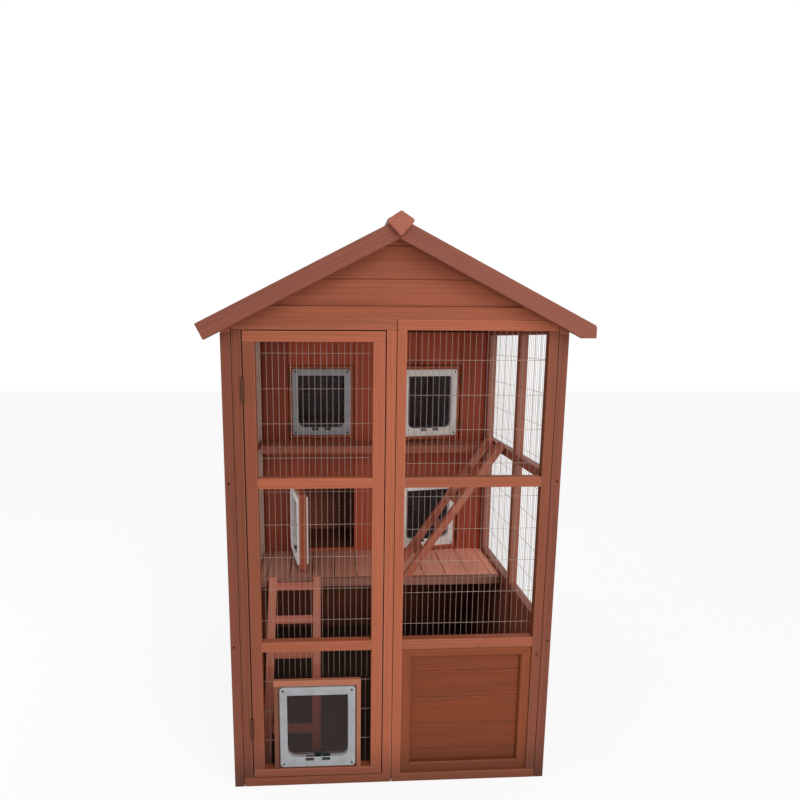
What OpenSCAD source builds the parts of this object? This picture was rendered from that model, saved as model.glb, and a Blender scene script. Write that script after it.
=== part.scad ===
// Outdoor cat house: a wire-mesh run under a gable roof, with four sleeping rooms behind it.
// Millimetres. X runs to the right, Y to the rear and Z up; the front faces -Y.
// The origin is on the ground, under the middle of the house.
//
// Two battened panels close the front: a hinged door on the left and a fixed panel on the right.
// Behind the run, the room wall has four small doors, two above two, each with its own cat flap.
// A fifth flap sits low in the big door. Two equal ladders lead from the ground to the platform
// and from the platform to the upper shelf.
//
// Battens of one frame are separate solids with a dry joint between them, as screwed frames are.

// Sub-part to build, or all of them

/* [House] */
// Width over the side panels
body_w = 960; // [900:1:1020]
// Depth over the front and rear panels
body_d = 1100; // [1040:1:1160]
// From the front of the house to the face of the room wall
run_d = 770; // [740:1:800]
// Height of the front panels
panel_h = 1410; // [1395:1:1425]
// Thickness of the front, side and rear panels
panel_t = 28; // [24:0.5:32]
// Flat cut on the long edges of every batten
ease = 1.5; // [0.5:0.1:3]
// Dry joint between two battens of one frame
seam = 0.2; // [0.1:0.05:0.5]
// Joint between neighbouring panels
slack = 0.5; // [0.3:0.1:1]

/* [Front panels] */
// Width of the upright battens
stile_w = 27.5; // [24:0.5:34]
// Height of the battens that lie between the windows
rail_w = 30; // [24:0.5:36]
// Height of the top battens
top_w = 29; // [24:0.5:36]
// Height of the bottom battens
bottom_w = 28; // [24:0.5:36]
// Underside of the upper window rails to the top of the upper shelf
rail_drop = 11; // [4:1:20]
// Underside of the lower window rails
rail_lo = 443; // [430:1:455]

/* [Main door] */
// Clearance round the door
door_gap = 3; // [2.5:0.1:4]
// Width of the door's upright battens
door_stile = 33; // [28:0.5:38]
// Height of the door's bottom batten
door_bottom = 25; // [22:0.5:30]

/* [Wire mesh] */
// Thickness of the wire
wire = 1.6; // [1:0.1:2.5]
// Distance between upright wires in the front panels
wire_step = 33.6; // [28:0.1:42]
// Distance between upright wires in the side panels
side_step = 50.4; // [42:0.1:60]
// Distance between level wires
wire_row = 96; // [80:1:110]
// How far the mesh laps over a window's edge
wire_lap = 6; // [4:0.5:10]

/* [Boards] */
// Height that one board covers
board_pitch = 87.5; // [75:0.5:100]
// Thickness of the boards
board_t = 10; // [8:0.5:14]
// Depth of the V between two boards
board_v = 2; // [1:0.1:3]
// Height of the tongue
tongue_h = 5; // [3:0.5:7]
// Thickness of the tongue
tongue_t = 3.4; // [2.5:0.1:4]
// Play round the tongue in its groove
tongue_play = 0.4; // [0.2:0.05:0.6]
// Height of the lowest board of the lower right panel
first_board = 76.5; // [60:0.5:87.5]
// How far the boards lie behind the face of the lower right panel
lower_inset = 18; // [16:0.5:18]
// How far the gable and side boards lie behind the face of their frame
board_inset = 8; // [5:0.5:12]

/* [Moulding of the lower right panel] */
// Width of the moulding
mould_w = 31; // [24:0.5:38]
// Thickness of the moulding
mould_t = 12; // [8:0.5:12]
// Width of the bevel along the moulding's inner edge
mould_bevel = 4; // [2:0.5:7]

/* [Side panels] */
// Width of the upright battens
side_stile = 32; // [26:0.5:38]
// Front of the house to the front of the middle upright
side_mid = 350; // [320:1:380]
// Height of the top battens
side_top = 32; // [26:0.5:38]
// Underside of the battens under the windows
sill_z = 468; // [455:1:475]
// Height of the battens under the windows
sill_h = 32; // [26:0.5:38]

/* [Roof] */
// Slope of the roof in degrees
pitch = 26.8; // [24:0.1:29]
// Half of the width over the rake boards
roof_half = 538; // [520:1:560]
// Top of the front panels to the ridge line on the underside of the roof
ridge_up = 237; // [233:0.5:242]
// Thickness of the roof panels
roof_t = 15; // [12:0.5:18]
// Thickness of the felt
felt_t = 2; // [1:0.1:3]
// How far the rake boards stand in front of the house
overhang = 45; // [35:1:60]
// Thickness of the rake boards
rake_t = 18; // [14:0.5:22]
// Width of the rake boards, square to the slope
rake_w = 46.5; // [40:0.5:54]
// Height of the plumb cut at the right rake end
rake_plumb = 33; // [26:0.5:36]
// Radius of the corner above the plumb cut
rake_round = 12; // [6:0.5:18]
// How far the roof panels stay inside the rake ends
eave_back = 6; // [2:0.5:12]
// Thickness of the ridge cap
cap_t = 10; // [7:0.5:14]
// Width of one wing of the ridge cap, along the slope
cap_wing = 37; // [30:0.5:44]
// Half of the width of the blocks at the ridge ends
block_half = 34; // [28:0.5:40]
// Height of the ridge blocks
block_h = 64; // [56:0.5:72]
// Height of the block's side corners under its top
block_drop = 24; // [20:0.5:28]
// Thickness of the ridge blocks
block_t = 18; // [12:0.5:24]
// Radius of the ridge blocks' corners
block_round = 6; // [3:0.5:9]
// Play between the roof and what carries it
roof_play = 0.3; // [0.2:0.05:0.5]

/* [Gables] */
// Height of the batten under the gable boards
gable_rail = 34; // [28:0.5:40]
// Height of the first seam over the front panels
gable_seam = 106.5; // [98:0.5:115]

/* [Platform and shelf] */
// Height from the platform to the upper shelf
storey = 463; // [455:1:470]
// Depth of the platform
deck_d = 320; // [300:1:340]
// Thickness of the deck boards
deck_t = 12; // [9:0.5:16]
// Width that one deck board covers
deck_pitch = 84; // [78:0.5:86]
// Open joint between two deck boards
deck_gap = 3.5; // [2:0.5:5]
// Number of full deck boards
deck_count = 10; // [8:1:10]
// Section of the battens under the deck and shelf
bearer = 28; // [24:0.5:34]
// Top of the front panels to the top of the upper shelf
shelf_drop = 460; // [452:1:470]
// Depth of the upper shelf
shelf_d = 125; // [110:1:135]
// Height of the shelf's front batten
shelf_h = 30; // [26:0.5:34]
// Distance from the shelf's ends to the side panels
shelf_end = 2.5; // [2:0.1:4]

/* [Ladders] */
// Platform's front edge to where the underside of the lower ladder meets the ground
ladder_reach = 333.7; // [325:0.1:345]
// Height of a ladder's top over the platform or shelf that it serves
ladder_over = 10.8; // [8:0.1:14]
// Width over the rails
ladder_w = 187; // [175:1:200]
// Width of a rail
ladder_rail = 28; // [22:0.5:34]
// Depth of a rail, square to its slope
ladder_depth = 24; // [18:0.5:30]
// Number of rungs
rungs = 5; // [4:1:5]
// Foot of the rails to the middle of the first rung
rung_first = 103; // [90:1:115]
// Middle of the last rung to the top of the rails
rung_last = 33; // [24:1:45]
// Width of a rung along the rails
rung_w = 28; // [22:0.5:34]
// Thickness of a rung
rung_t = 15; // [10:0.5:20]
// Left side panel to the lower ladder
ladder_in = 46; // [34:1:60]
// Front edge of the upper ladder, behind the front of the house
ladder_up_y = 456; // [452:1:470]

/* [Room wall and rooms] */
// Thickness of the room wall
wall_t = 28; // [24:0.5:32]
// Middle of a room to the middle of its door
col_in = 11; // [4:1:16]
// Width of a room door
rdoor_w = 256; // [250:0.5:262]
// Height of a room door
rdoor_h = 290; // [284:0.5:296]
// Thickness of a room door
rdoor_t = 25; // [20:0.5:28]
// Floor of a room to the underside of its door
rdoor_up = 12; // [8:1:16]
// Thickness of the room floors
floor_t = 18; // [12:0.5:24]
// Thickness of the ceiling and of the wall between the rooms
parting_t = 12; // [9:0.5:16]
// Angle of the upper left door, from closed
angle_ul = 0; // [0:1:90]
// Angle of the upper right door, from closed
angle_ur = 12; // [0:1:75]
// Angle of the lower left door, from closed
angle_ml = 80; // [0:1:90]
// Angle of the lower right door, from closed
angle_mr = 12; // [0:1:20]

/* [Hinges] */
// Radius of the hinge knuckles
knuckle_r = 4; // [3:0.1:5]
// Radius of the hinge pins
pin_r = 1.6; // [1.2:0.1:2]
// Radial play between pin and knuckle
pin_play = 0.06; // [0.03:0.01:0.1]
// Thickness of a hinge leaf
leaf_t = 1.2; // [0.8:0.1:1.2]
// Depth of a hinge leaf behind the door's face
leaf_d = 18; // [12:0.5:22]
// Length of the main door's hinges
hinge_l = 70; // [60:1:80]
// Length of the room doors' hinges
rhinge_l = 45; // [36:1:54]
// Distance from the face of a door to its pin
pin_out = 4.2; // [4:0.1:5]
// Middle of the main door's lower hinge
hinge_lo = 195; // [180:1:210]
// Top of the main door to the middle of its upper hinge
hinge_drop = 160; // [140:1:180]
// Gap between two knuckles
knuckle_gap = 0.3; // [0.2:0.05:0.5]

/* [Cat flaps] */
// Width of a flap's frame
flap_w = 230; // [224:0.5:236]
// Height of a flap's frame
flap_h = 266; // [260:0.5:272]
// Width of the way through
way_w = 184; // [176:0.5:188]
// Height of the way through
way_h = 206; // [200:0.5:210]
// Height of the frame under the way through
way_z = 33; // [30:0.5:36]
// Thickness of the outer and inner frames
bezel_t = 8; // [6:0.5:9]
// Radius of the frames' outer corners
bezel_round = 12; // [6:0.5:18]
// Radius of the lower corners of the way through
way_round = 25; // [15:0.5:32]
// Wall of the sleeve through the door
sleeve_t = 6; // [5:0.5:8]
// Play between sleeve and door
sleeve_play = 0.4; // [0.2:0.1:0.8]
// Thickness of the clear pane
pane_t = 4; // [3:0.5:5]
// Play at the pane's sides and top
pane_play = 2; // [1.5:0.1:3]
// Play under the pane
pane_low = 2.5; // [2:0.1:3.5]
// Distance from the top of the way through to the pane's pins
pane_pin_z = 6; // [5:0.5:8]
// Radius of the pane's pins
pane_pin_r = 1.9; // [1.5:0.1:2.5]
// How far a pin reaches into the frame
pane_pin_l = 3.5; // [2.5:0.5:4]
// Width of a lock tab
tab_w = 25; // [20:0.5:27]
// Middle of the flap to the middle of a lock tab
tab_x = 25; // [20:0.5:32]
// Top of the sill to the lower edge of a tab's plate
plate_drop = 20; // [17:0.5:24]
// Thickness of that plate
plate_t = 2; // [1.5:0.1:2.2]
// How far the plate lies behind the frame's face
plate_in = 3.2; // [3:0.1:3.6]
// Height of the slot in which the finger moves the tab
slot_h = 11; // [10:0.5:14]
// Sill left above that slot
slot_top = 1.5; // [1:0.1:3]
// Height of the rib for the finger
nub_h = 4; // [3:0.5:5]
// How far that rib stands out of the plate
nub_out = 2.6; // [1.5:0.1:2.8]
// Radius of the screw recesses in the frame
recess_r = 3.6; // [3:0.1:4]
// Depth of those recesses
recess_d = 2.5; // [2:0.1:3]
// Edge of the frame to the middle of a recess
recess_in = 11; // [9:0.5:13]
// Thickness of a lock tab's parts
tab_t = 1.5; // [1:0.1:2]
// Play round a lock tab
tab_play = 0.4; // [0.3:0.05:0.6]
// Travel of a lock tab
tab_travel = 6; // [4:0.5:6]
// Underside of the main door's flap
flap_z = 59.5; // [57:0.5:64]
// Thickness of the board that holds the main door's flap
flap_board = 12; // [9:0.5:14]
// How far that board lies behind the door's face
flap_inset = 10; // [8.5:0.5:12]
// Board that shows between the flap and those battens
board_rim = 6; // [4:0.5:9]
// Width of the battens round that board
surround_w = 18; // [14:0.5:20]
// Top of the battens round that board
surround_top = 349; // [346:1:360]

/* [Hidden] */
$fn = 32;
half_w = body_w / 2;
in_w = half_w - panel_t;
front_y = -body_d / 2;
rear_y = body_d / 2;
ridge_z = panel_h + ridge_up;
shelf_z = panel_h - shelf_drop;
deck_z = shelf_z - storey;
rail_hi = shelf_z - rail_drop;
rdoor_hi = shelf_z + rdoor_up;
rdoor_lo = deck_z + rdoor_up;
room_y = front_y + run_d;
deck_y = room_y - deck_d;
shelf_y = room_y - shelf_d;
run_in = front_y + panel_t;

// Lines of the roof: height of the panels' underside, the felt's top and the rake's lower edge
rise = tan(pitch);
function under(x) = ridge_z - rise * abs(x);
function over(x) = under(x) + (roof_t + felt_t) / cos(pitch);
function low_rake(x) = over(x) - rake_w / cos(pitch);
side_h = under(half_w) - roof_play;

// The two front panels
left_lo = -in_w + slack;
left_hi = -slack;
right_lo = slack;
right_hi = in_w - slack;
door_lo = left_lo + stile_w + door_gap;
door_hi = left_hi - stile_w - door_gap;
flap_x = -(door_lo + door_hi) / 2;
door_z0 = bottom_w + door_gap;
door_z1 = panel_h - top_w - door_gap;
hinge_hi = door_z1 - hinge_drop;

// The room wall's door openings and its two floors
col_x = in_w / 2 - col_in;
hole_w = rdoor_w + 2 * door_gap;
wall_base = deck_z - bearer;
wall_top = side_h - side_top;

// Slope of both ladders, length of their rails, distance between rungs, run and rise
ladder_slope = atan((deck_z - ease) / ladder_reach);
ladder_l = (deck_z + ladder_over) / sin(ladder_slope);
rung_pitch = (ladder_l - rung_first - rung_last) / (rungs - 1);
ladder_run = ladder_l * cos(ladder_slope);
ladder_rise = ladder_l * sin(ladder_slope);

// Flap: middle of the pane's pins above the frame's underside
pane_z = way_z + way_h - pane_pin_z;

// Colours of the materials
wood = "#B86646";
wood_dark = "#7C4228";
wood_side = "#80493C";
wood_light = "#C08A6C";
wood_step = "#A8604A";
steel = "#B9B4AE";
bronze = "#4A3A32";
felt = "#59605A";
white = "#D9DBDC";
clear = "#55606A";
red = "#C23A2E";
green = "#3C8F4E";

// Section of a batten with its four long edges eased
module eased(w, h) {
  polygon([
    [ease, 0], [w - ease, 0], [w, ease], [w, h - ease],
    [w - ease, h], [ease, h], [0, h - ease], [0, ease]
  ]);
}

// Battens between two corners, standing, lying left to right and lying front to back
module upright(lo, hi) {
  translate(lo) linear_extrude(hi.z - lo.z) eased(hi.x - lo.x, hi.y - lo.y);
}

module across(lo, hi) {
  translate(lo) rotate([90, 0, 90]) linear_extrude(hi.x - lo.x) eased(hi.y - lo.y, hi.z - lo.z);
}

module along(lo, hi) {
  translate([lo.x, hi.y, lo.z]) rotate([90, 0, 0])
    linear_extrude(hi.y - lo.y) eased(hi.x - lo.x, hi.z - lo.z);
}

module block(lo, hi) {
  translate(lo) cube(hi - lo);
}

// Flat welded mesh in the plane of X and Z, its front on y, over one window
module net(x0, x1, z0, z1, y, step) {
  w = x1 - x0 - wire;
  h = z1 - z0 - wire;
  cols = max(1, round(w / step));
  rows = max(1, round(h / wire_row));
  translate([x0, y + wire, z0]) rotate([90, 0, 0]) linear_extrude(wire) {
    for (i = [0:cols]) translate([i * w / cols, 0]) square([wire, h + wire]);
    for (j = [0:rows]) translate([0, j * h / rows]) square([w + wire, wire]);
  }
}

// One tongue-and-groove board, lying along X from the origin, its face on y = 0
module tg_board(l, h, tongue, groove) {
  mid = board_t / 2;
  play = tongue_play / 2;
  rotate([90, 0, 90]) linear_extrude(l) polygon(concat(
    [[board_v, 0], [0, board_v], [0, h - board_v], [board_v, h]],
    tongue ? [
      [mid - tongue_t / 2, h], [mid - tongue_t / 2, h + tongue_h],
      [mid + tongue_t / 2, h + tongue_h], [mid + tongue_t / 2, h]
    ] : [],
    [[board_t, h], [board_t, 0]],
    groove ? [
      [mid + tongue_t / 2 + play, 0], [mid + tongue_t / 2 + play, tongue_h + tongue_play],
      [mid - tongue_t / 2 - play, tongue_h + tongue_play], [mid - tongue_t / 2 - play, 0]
    ] : []
  ));
}

// Separate boards that fill z0 to z1, with a seam at the height first
module tg_boards(l, z0, z1, first) {
  below = ceil((first - z0) / board_pitch);
  above = ceil((z1 - first) / board_pitch);
  for (k = [-below:above - 1]) {
    lo = max(z0, first + k * board_pitch);
    hi = min(z1, first + (k + 1) * board_pitch);
    translate([0, 0, lo]) tg_board(l, hi - lo - seam, hi < z1, lo > z0);
  }
}

// Boards of one bay glued up as a sheet: same V joints, one solid. It lies along X, its face on y = 0
module sheet(l, z0, z1) {
  n = max(1, round((z1 - z0) / board_pitch));
  h = (z1 - z0) / n;
  rotate([90, 0, 90]) linear_extrude(l) polygon(concat(
    [[board_t, z0], [0, z0]],
    [for (k = [1:1:n - 1]) each [
      [0, z0 + k * h - board_v], [board_v, z0 + k * h], [0, z0 + k * h + board_v]
    ]],
    [[0, z1], [board_t, z1]]
  ));
}

// The same sheet with its boards upright, from x0 to x1, its face on y
module upright_sheet(x0, x1, y, z0, z1, n) {
  w = (x1 - x0) / n;
  translate([0, 0, z0]) linear_extrude(z1 - z0) polygon(concat(
    [[x0, y + board_t], [x0, y]],
    [for (k = [1:1:n - 1]) each [
      [x0 + k * w - board_v, y], [x0 + k * w, y + board_v], [x0 + k * w + board_v, y]
    ]],
    [[x1, y], [x1, y + board_t]]
  ));
}

// Front panels

module front_left_frame() color(wood) {
  y0 = front_y;
  y1 = run_in;
  across([left_lo, y0, 0], [left_hi, y1, bottom_w]);
  across([left_lo, y0, panel_h - top_w], [left_hi, y1, panel_h]);
  upright([left_lo, y0, bottom_w + seam], [left_lo + stile_w, y1, panel_h - top_w - seam]);
  upright([left_hi - stile_w, y0, bottom_w + seam], [left_hi, y1, panel_h - top_w - seam]);
}

module front_right_frame() color(wood) {
  y0 = front_y;
  y1 = run_in;
  lo = right_lo + stile_w + seam;
  hi = right_hi - stile_w - seam;
  across([right_lo, y0, 0], [right_hi, y1, bottom_w]);
  across([right_lo, y0, panel_h - top_w], [right_hi, y1, panel_h]);
  upright([right_lo, y0, bottom_w + seam], [right_lo + stile_w, y1, panel_h - top_w - seam]);
  upright([right_hi - stile_w, y0, bottom_w + seam], [right_hi, y1, panel_h - top_w - seam]);
  across([lo, y0, rail_hi], [hi, y1, rail_hi + rail_w]);
  across([lo, y0, rail_lo], [hi, y1, rail_lo + rail_w]);
}

module front_right_mesh() color(steel) {
  x0 = right_lo + stile_w - wire_lap;
  x1 = right_hi - stile_w + wire_lap;
  net(x0, x1, rail_lo + rail_w - wire_lap, rail_hi + wire_lap, run_in, wire_step);
  net(x0, x1, rail_hi + rail_w - wire_lap, panel_h - top_w + wire_lap, run_in, wire_step);
}

module front_right_boards() color(wood_dark) {
  x0 = right_lo + stile_w + seam;
  x1 = right_hi - stile_w - seam;
  translate([x0, front_y + lower_inset, 0])
    tg_boards(x1 - x0, bottom_w + seam, rail_lo - seam, bottom_w + first_board);
}

// One member of the moulding, cut to a mitre at both ends; it lies along X, its inner edge up
module mould_member(l) {
  intersection() {
    rotate([90, 0, 90]) linear_extrude(l) polygon([
      [0, 0], [mould_t, 0], [mould_t, mould_w], [mould_bevel, mould_w], [0, mould_w - mould_bevel]
    ]);
    translate([0, mould_t, 0]) rotate([90, 0, 0]) linear_extrude(mould_t)
      polygon([[0, 0], [l, 0], [l - mould_w, mould_w], [mould_w, mould_w]]);
  }
}

module front_right_moulding() color(wood) {
  x0 = right_lo + stile_w + seam;
  x1 = right_hi - stile_w - seam;
  z0 = bottom_w + seam;
  z1 = rail_lo - seam;
  y = front_y + lower_inset - mould_t;
  gap = seam * 1.5;
  translate([x0 + gap, y, z0]) mould_member(x1 - x0 - 2 * gap);
  translate([x1 - gap, y, z1]) rotate([0, 180, 0]) mould_member(x1 - x0 - 2 * gap);
  translate([x0, y, z1 - gap]) rotate([0, 90, 0]) mould_member(z1 - z0 - 2 * gap);
  translate([x1, y, z0 + gap]) rotate([0, -90, 0]) mould_member(z1 - z0 - 2 * gap);
}

// Main door

module main_door_frame() color(wood) {
  y0 = front_y;
  y1 = run_in;
  lo = door_lo + door_stile + seam;
  hi = door_hi - door_stile - seam;
  across([door_lo, y0, door_z0], [door_hi, y1, door_z0 + door_bottom]);
  across([door_lo, y0, door_z1 - top_w], [door_hi, y1, door_z1]);
  upright([door_lo, y0, door_z0 + door_bottom + seam], [door_lo + door_stile, y1, door_z1 - top_w - seam]);
  upright([door_hi - door_stile, y0, door_z0 + door_bottom + seam], [door_hi, y1, door_z1 - top_w - seam]);
  across([lo, y0, rail_hi], [hi, y1, rail_hi + rail_w]);
  across([lo, y0, rail_lo], [hi, y1, rail_lo + rail_w]);
}

// Outer edges of the battens round the flap board
sur_lo = -flap_x - flap_w / 2 - board_rim - surround_w;
sur_hi = -flap_x + flap_w / 2 + board_rim + surround_w;

module main_door_mesh() color(steel) {
  x0 = door_lo + door_stile - wire_lap;
  x1 = door_hi - door_stile + wire_lap;
  z0 = door_z0 + door_bottom - wire_lap;
  zs = surround_top - wire_lap;
  net(x0, x1, rail_hi + rail_w - wire_lap, door_z1 - top_w + wire_lap, run_in, wire_step);
  net(x0, x1, rail_lo + rail_w - wire_lap, rail_hi + wire_lap, run_in, wire_step);
  net(x0, x1, zs, rail_lo + wire_lap, run_in, wire_step);
  net(x0, sur_lo + wire_lap, z0, zs - wire, run_in, wire_step);
  net(sur_hi - wire_lap, x1, z0, zs - wire, run_in, wire_step);
}

// Battens and board that carry the flap, standing on the door's bottom batten
module flap_surround() color(wood) {
  z0 = door_z0 + door_bottom + seam;
  z1 = surround_top - surround_w;
  yb = front_y + flap_inset;
  upright([sur_lo, front_y, z0], [sur_lo + surround_w, run_in, z1 - seam]);
  upright([sur_hi - surround_w, front_y, z0], [sur_hi, run_in, z1 - seam]);
  across([sur_lo, front_y, z1], [sur_hi, run_in, surround_top]);
  difference() {
    block([sur_lo + surround_w + seam, yb, z0], [sur_hi - surround_w - seam, yb + flap_board, z1 - seam]);
    translate([-flap_x, yb, flap_z]) sleeve_hole(flap_board);
  }
}

// Hinges

// Fixed half of a butt hinge: leaf, two outer knuckles and the pin. The pin is the Z axis,
// the door lies towards +X and its face is pin_out behind the pin
module hinge_fixed(l) {
  x0 = -door_gap / 2;
  third = l / 6 + knuckle_gap / 2;
  difference() {
    block([x0, 0, -l / 2], [x0 + leaf_t, pin_out + leaf_d, l / 2]);
    block([x0 - 1, -1, -third], [x0 + leaf_t + 1, knuckle_r + knuckle_gap, third]);
  }
  for (s = [-1, 1]) {
    translate([0, 0, s * (l / 2 + third) / 2]) cylinder(r = knuckle_r, h = l / 2 - third, center = true);
  }
  cylinder(r = pin_r, h = l, center = true);
}

// Moving half: leaf and middle knuckle with its bore
module hinge_moving(l) {
  x1 = door_gap / 2;
  third = l / 6 - knuckle_gap / 2;
  difference() {
    union() {
      block([x1 - leaf_t, knuckle_r + knuckle_gap, -l / 2], [x1, pin_out + leaf_d, l / 2]);
      block([x1 - leaf_t, 0, -third], [x1, pin_out + 1, third]);
      cylinder(r = knuckle_r, h = 2 * third, center = true);
    }
    cylinder(r = pin_r + pin_play, h = l, center = true);
  }
}

main_pin = [door_lo - door_gap / 2, front_y - pin_out];

module main_hinges() color(bronze) {
  for (z = [hinge_lo, hinge_hi]) translate([main_pin.x, main_pin.y, z]) hinge_fixed(hinge_l);
}

module main_door_hinges() color(bronze) {
  for (z = [hinge_lo, hinge_hi]) translate([main_pin.x, main_pin.y, z]) hinge_moving(hinge_l);
}

// Side panels

// Uprights of a side panel, counted from the front: where each begins
side_posts = [
  front_y, front_y + side_mid, room_y - side_stile, room_y, rear_y - side_stile
];

// Left side panel; the right one is its mirror image
module side_frame() {
  x0 = -half_w;
  x1 = -in_w;
  z1 = side_h - side_top;
  for (k = [0:4]) {
    y = side_posts[k] + (k == 3 ? seam : 0);
    upright([x0, y, 0], [x1, side_posts[k] + side_stile - (k == 2 ? seam : 0), z1 - seam]);
  }
  along([x0, front_y, z1], [x1, room_y - seam, side_h]);
  along([x0, room_y + seam, z1], [x1, rear_y, side_h]);
  for (k = [0, 1, 3]) {
    y0 = side_posts[k] + side_stile + seam;
    y1 = side_posts[k + 1] - seam;
    along([x0, y0, 0], [x1, y1, side_stile]);
    if (k < 3) {
      along([x0, y0, sill_z], [x1, y1, sill_z + sill_h]);
      along([x0, y0, rail_hi], [x1, y1, rail_hi + rail_w]);
    }
  }
}

module side_frame_left() color(wood_side) side_frame();

module side_frame_right() color(wood_side) mirror([1, 0, 0]) side_frame();

module side_mesh() {
  for (k = [0, 1]) {
    y0 = side_posts[k] + side_stile - wire_lap;
    y1 = side_posts[k + 1] + wire_lap;
    front = max(y0, run_in + wire + 1);
    translate([-in_w, 0, 0]) rotate([0, 0, 90]) {
      net(front, y1, sill_z + sill_h - wire_lap, rail_hi + wire_lap, -wire, side_step);
      net(front, y1, rail_hi + rail_w - wire_lap, side_h - side_top + wire_lap, -wire, side_step);
    }
  }
}

module side_mesh_left() color(steel) side_mesh();

module side_mesh_right() color(steel) mirror([1, 0, 0]) side_mesh();

module side_boards() {
  for (k = [0, 1, 3]) {
    y0 = side_posts[k] + side_stile + seam;
    y1 = side_posts[k + 1] - seam;
    top = (k < 3 ? sill_z : side_h - side_top) - seam;
    translate([-half_w + board_inset, y1, 0]) rotate([0, 0, -90]) sheet(y1 - y0, side_stile + seam, top);
  }
}

module side_boards_left() color(wood_side) side_boards();

module side_boards_right() color(wood_side) mirror([1, 0, 0]) side_boards();

// Rear panel

rear_x = [left_lo, -side_stile / 2, right_hi - side_stile];

module rear_frame() color(wood_side) {
  y0 = rear_y - panel_t;
  z0 = side_stile;
  z1 = panel_h - top_w;
  across([left_lo, y0, 0], [right_hi, rear_y, z0 - seam]);
  across([left_lo, y0, z1 + seam], [right_hi, rear_y, panel_h]);
  for (x = rear_x) upright([x, y0, z0], [x + side_stile, rear_y, z1]);
}

module rear_boards() color(wood_side) {
  for (k = [0, 1]) {
    x0 = rear_x[k] + side_stile + seam;
    x1 = rear_x[k + 1] - seam;
    translate([x1, rear_y - board_inset, 0]) rotate([0, 0, 180])
      sheet(x1 - x0, side_stile + seam, panel_h - top_w - seam);
  }
}

// Gables

// Half of the width under the roof at a height
function gable_half(z) = (ridge_z - roof_play / cos(pitch) - z) / rise;

// Front gable: batten and three tongue-and-groove boards cut to the slope
module gable() {
  z0 = panel_h + seam;
  z1 = panel_h + gable_rail;
  y = front_y + board_inset;
  translate([0, run_in, 0]) rotate([90, 0, 0]) linear_extrude(panel_t) polygon([
    [-gable_half(z0), z0], [gable_half(z0), z0], [gable_half(z1), z1], [-gable_half(z1), z1]
  ]);
  intersection() {
    translate([-half_w, y, 0]) tg_boards(2 * half_w, z1 + seam, ridge_z, panel_h + gable_seam);
    translate([0, y + board_t, 0]) rotate([90, 0, 0]) linear_extrude(board_t)
      polygon([[-gable_half(z1), z1], [gable_half(z1), z1], [0, gable_half(0) * rise]]);
  }
}

module front_gable() color(wood) gable();

module rear_gable() color(wood_side) rotate([0, 0, 180]) gable();

// Roof

eave_x = roof_half - eave_back;

// One slope as a strip of thickness t that starts h above the panels' underside
module slope_strip(x1, h, t, y0, y1) {
  up = h / cos(pitch);
  tip = x1 - t * sin(pitch);
  translate([0, y1, 0]) rotate([90, 0, 0]) linear_extrude(y1 - y0) polygon([
    [seam / 2, under(0) + up], [tip, under(tip) + up],
    [x1, under(x1) + up + t / cos(pitch)], [seam / 2, under(0) + up + t / cos(pitch)]
  ]);
}

roof_y0 = front_y - overhang + rake_t;
roof_y1 = rear_y + overhang - rake_t;

module roof_panel_right() color(wood_light) slope_strip(eave_x, 0, roof_t, roof_y0, roof_y1);

module roof_panel_left() color(wood_light) mirror([1, 0, 0]) roof_panel_right();

// Two felt sheets, and the strip on the ridge cap
module roof_felt() color(felt) {
  for (s = [0, 1]) mirror([s, 0, 0]) {
    slope_strip(eave_x, roof_t, felt_t, roof_y0, roof_y1);
    slope_strip(
      cap_wing * cos(pitch), roof_t + felt_t + roof_play + cap_t, felt_t,
      front_y - overhang, rear_y + overhang
    );
  }
}

// Right rake board: seat cut level, end cut plumb, with a round upper corner
module rake_plumb_end() {
  z1 = over(roof_half);
  z0 = z1 - rake_plumb;
  seat = (low_rake(0) - z0) / rise;
  r = rake_round;
  turn = 90 - pitch;
  reach = r * tan(turn / 2);
  polygon(concat(
    [[seam / 2, low_rake(0)], [seat, z0], [roof_half, z0]],
    [for (a = [0:turn / 5:turn + 0.01]) [
      roof_half - r + r * cos(a), z1 - reach + r * sin(a)
    ]],
    [[seam / 2, over(0)]]
  ));
}

// Left rake board, drawn to the right: end cut square to the slope
module rake_square_end() {
  z1 = over(roof_half);
  polygon([
    [seam / 2, low_rake(0)], [roof_half - rake_w * sin(pitch), z1 - rake_w * cos(pitch)],
    [roof_half, z1], [seam / 2, over(0)]
  ]);
}

module rake_pair() {
  translate([0, roof_y0, 0]) rotate([90, 0, 0]) linear_extrude(rake_t) rake_plumb_end();
  mirror([1, 0, 0]) translate([0, roof_y0, 0]) rotate([90, 0, 0])
    linear_extrude(rake_t) rake_square_end();
}

module rake_boards() color(wood) {
  rake_pair();
  mirror([0, 1, 0]) rake_pair();
}

// V-shaped cap over the ridge, from one pair of rake boards to the other
module ridge_cap() color(wood) {
  up = (roof_t + felt_t + roof_play) / cos(pitch);
  x1 = cap_wing * cos(pitch);
  tip = x1 - cap_t * sin(pitch);
  top = up + cap_t / cos(pitch);
  y0 = front_y - overhang;
  translate([0, -y0, 0]) rotate([90, 0, 0]) linear_extrude(-2 * y0) polygon([
    [0, under(0) + up], [tip, under(tip) + up], [x1, under(x1) + top],
    [0, under(0) + top], [-x1, under(x1) + top], [-tip, under(tip) + up]
  ]);
}

// Kite-shaped blocks in front of the rake boards' meeting
module ridge_blocks() color(wood_light) {
  top = ridge_z + (roof_t + 2 * felt_t + roof_play + cap_t) / cos(pitch) + 1.5;
  r = block_round;
  for (s = [0, 1]) mirror([0, s, 0]) translate([0, front_y - overhang, 0]) rotate([90, 0, 0])
    linear_extrude(block_t) hull() {
      translate([0, top - r * 1.25]) circle(r, $fn = 24);
      translate([0, top - block_h + r * 1.4]) circle(r, $fn = 24);
      for (x = [-1, 1]) translate([x * (block_half - r), top - block_drop]) circle(r, $fn = 24);
    }
}

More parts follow.
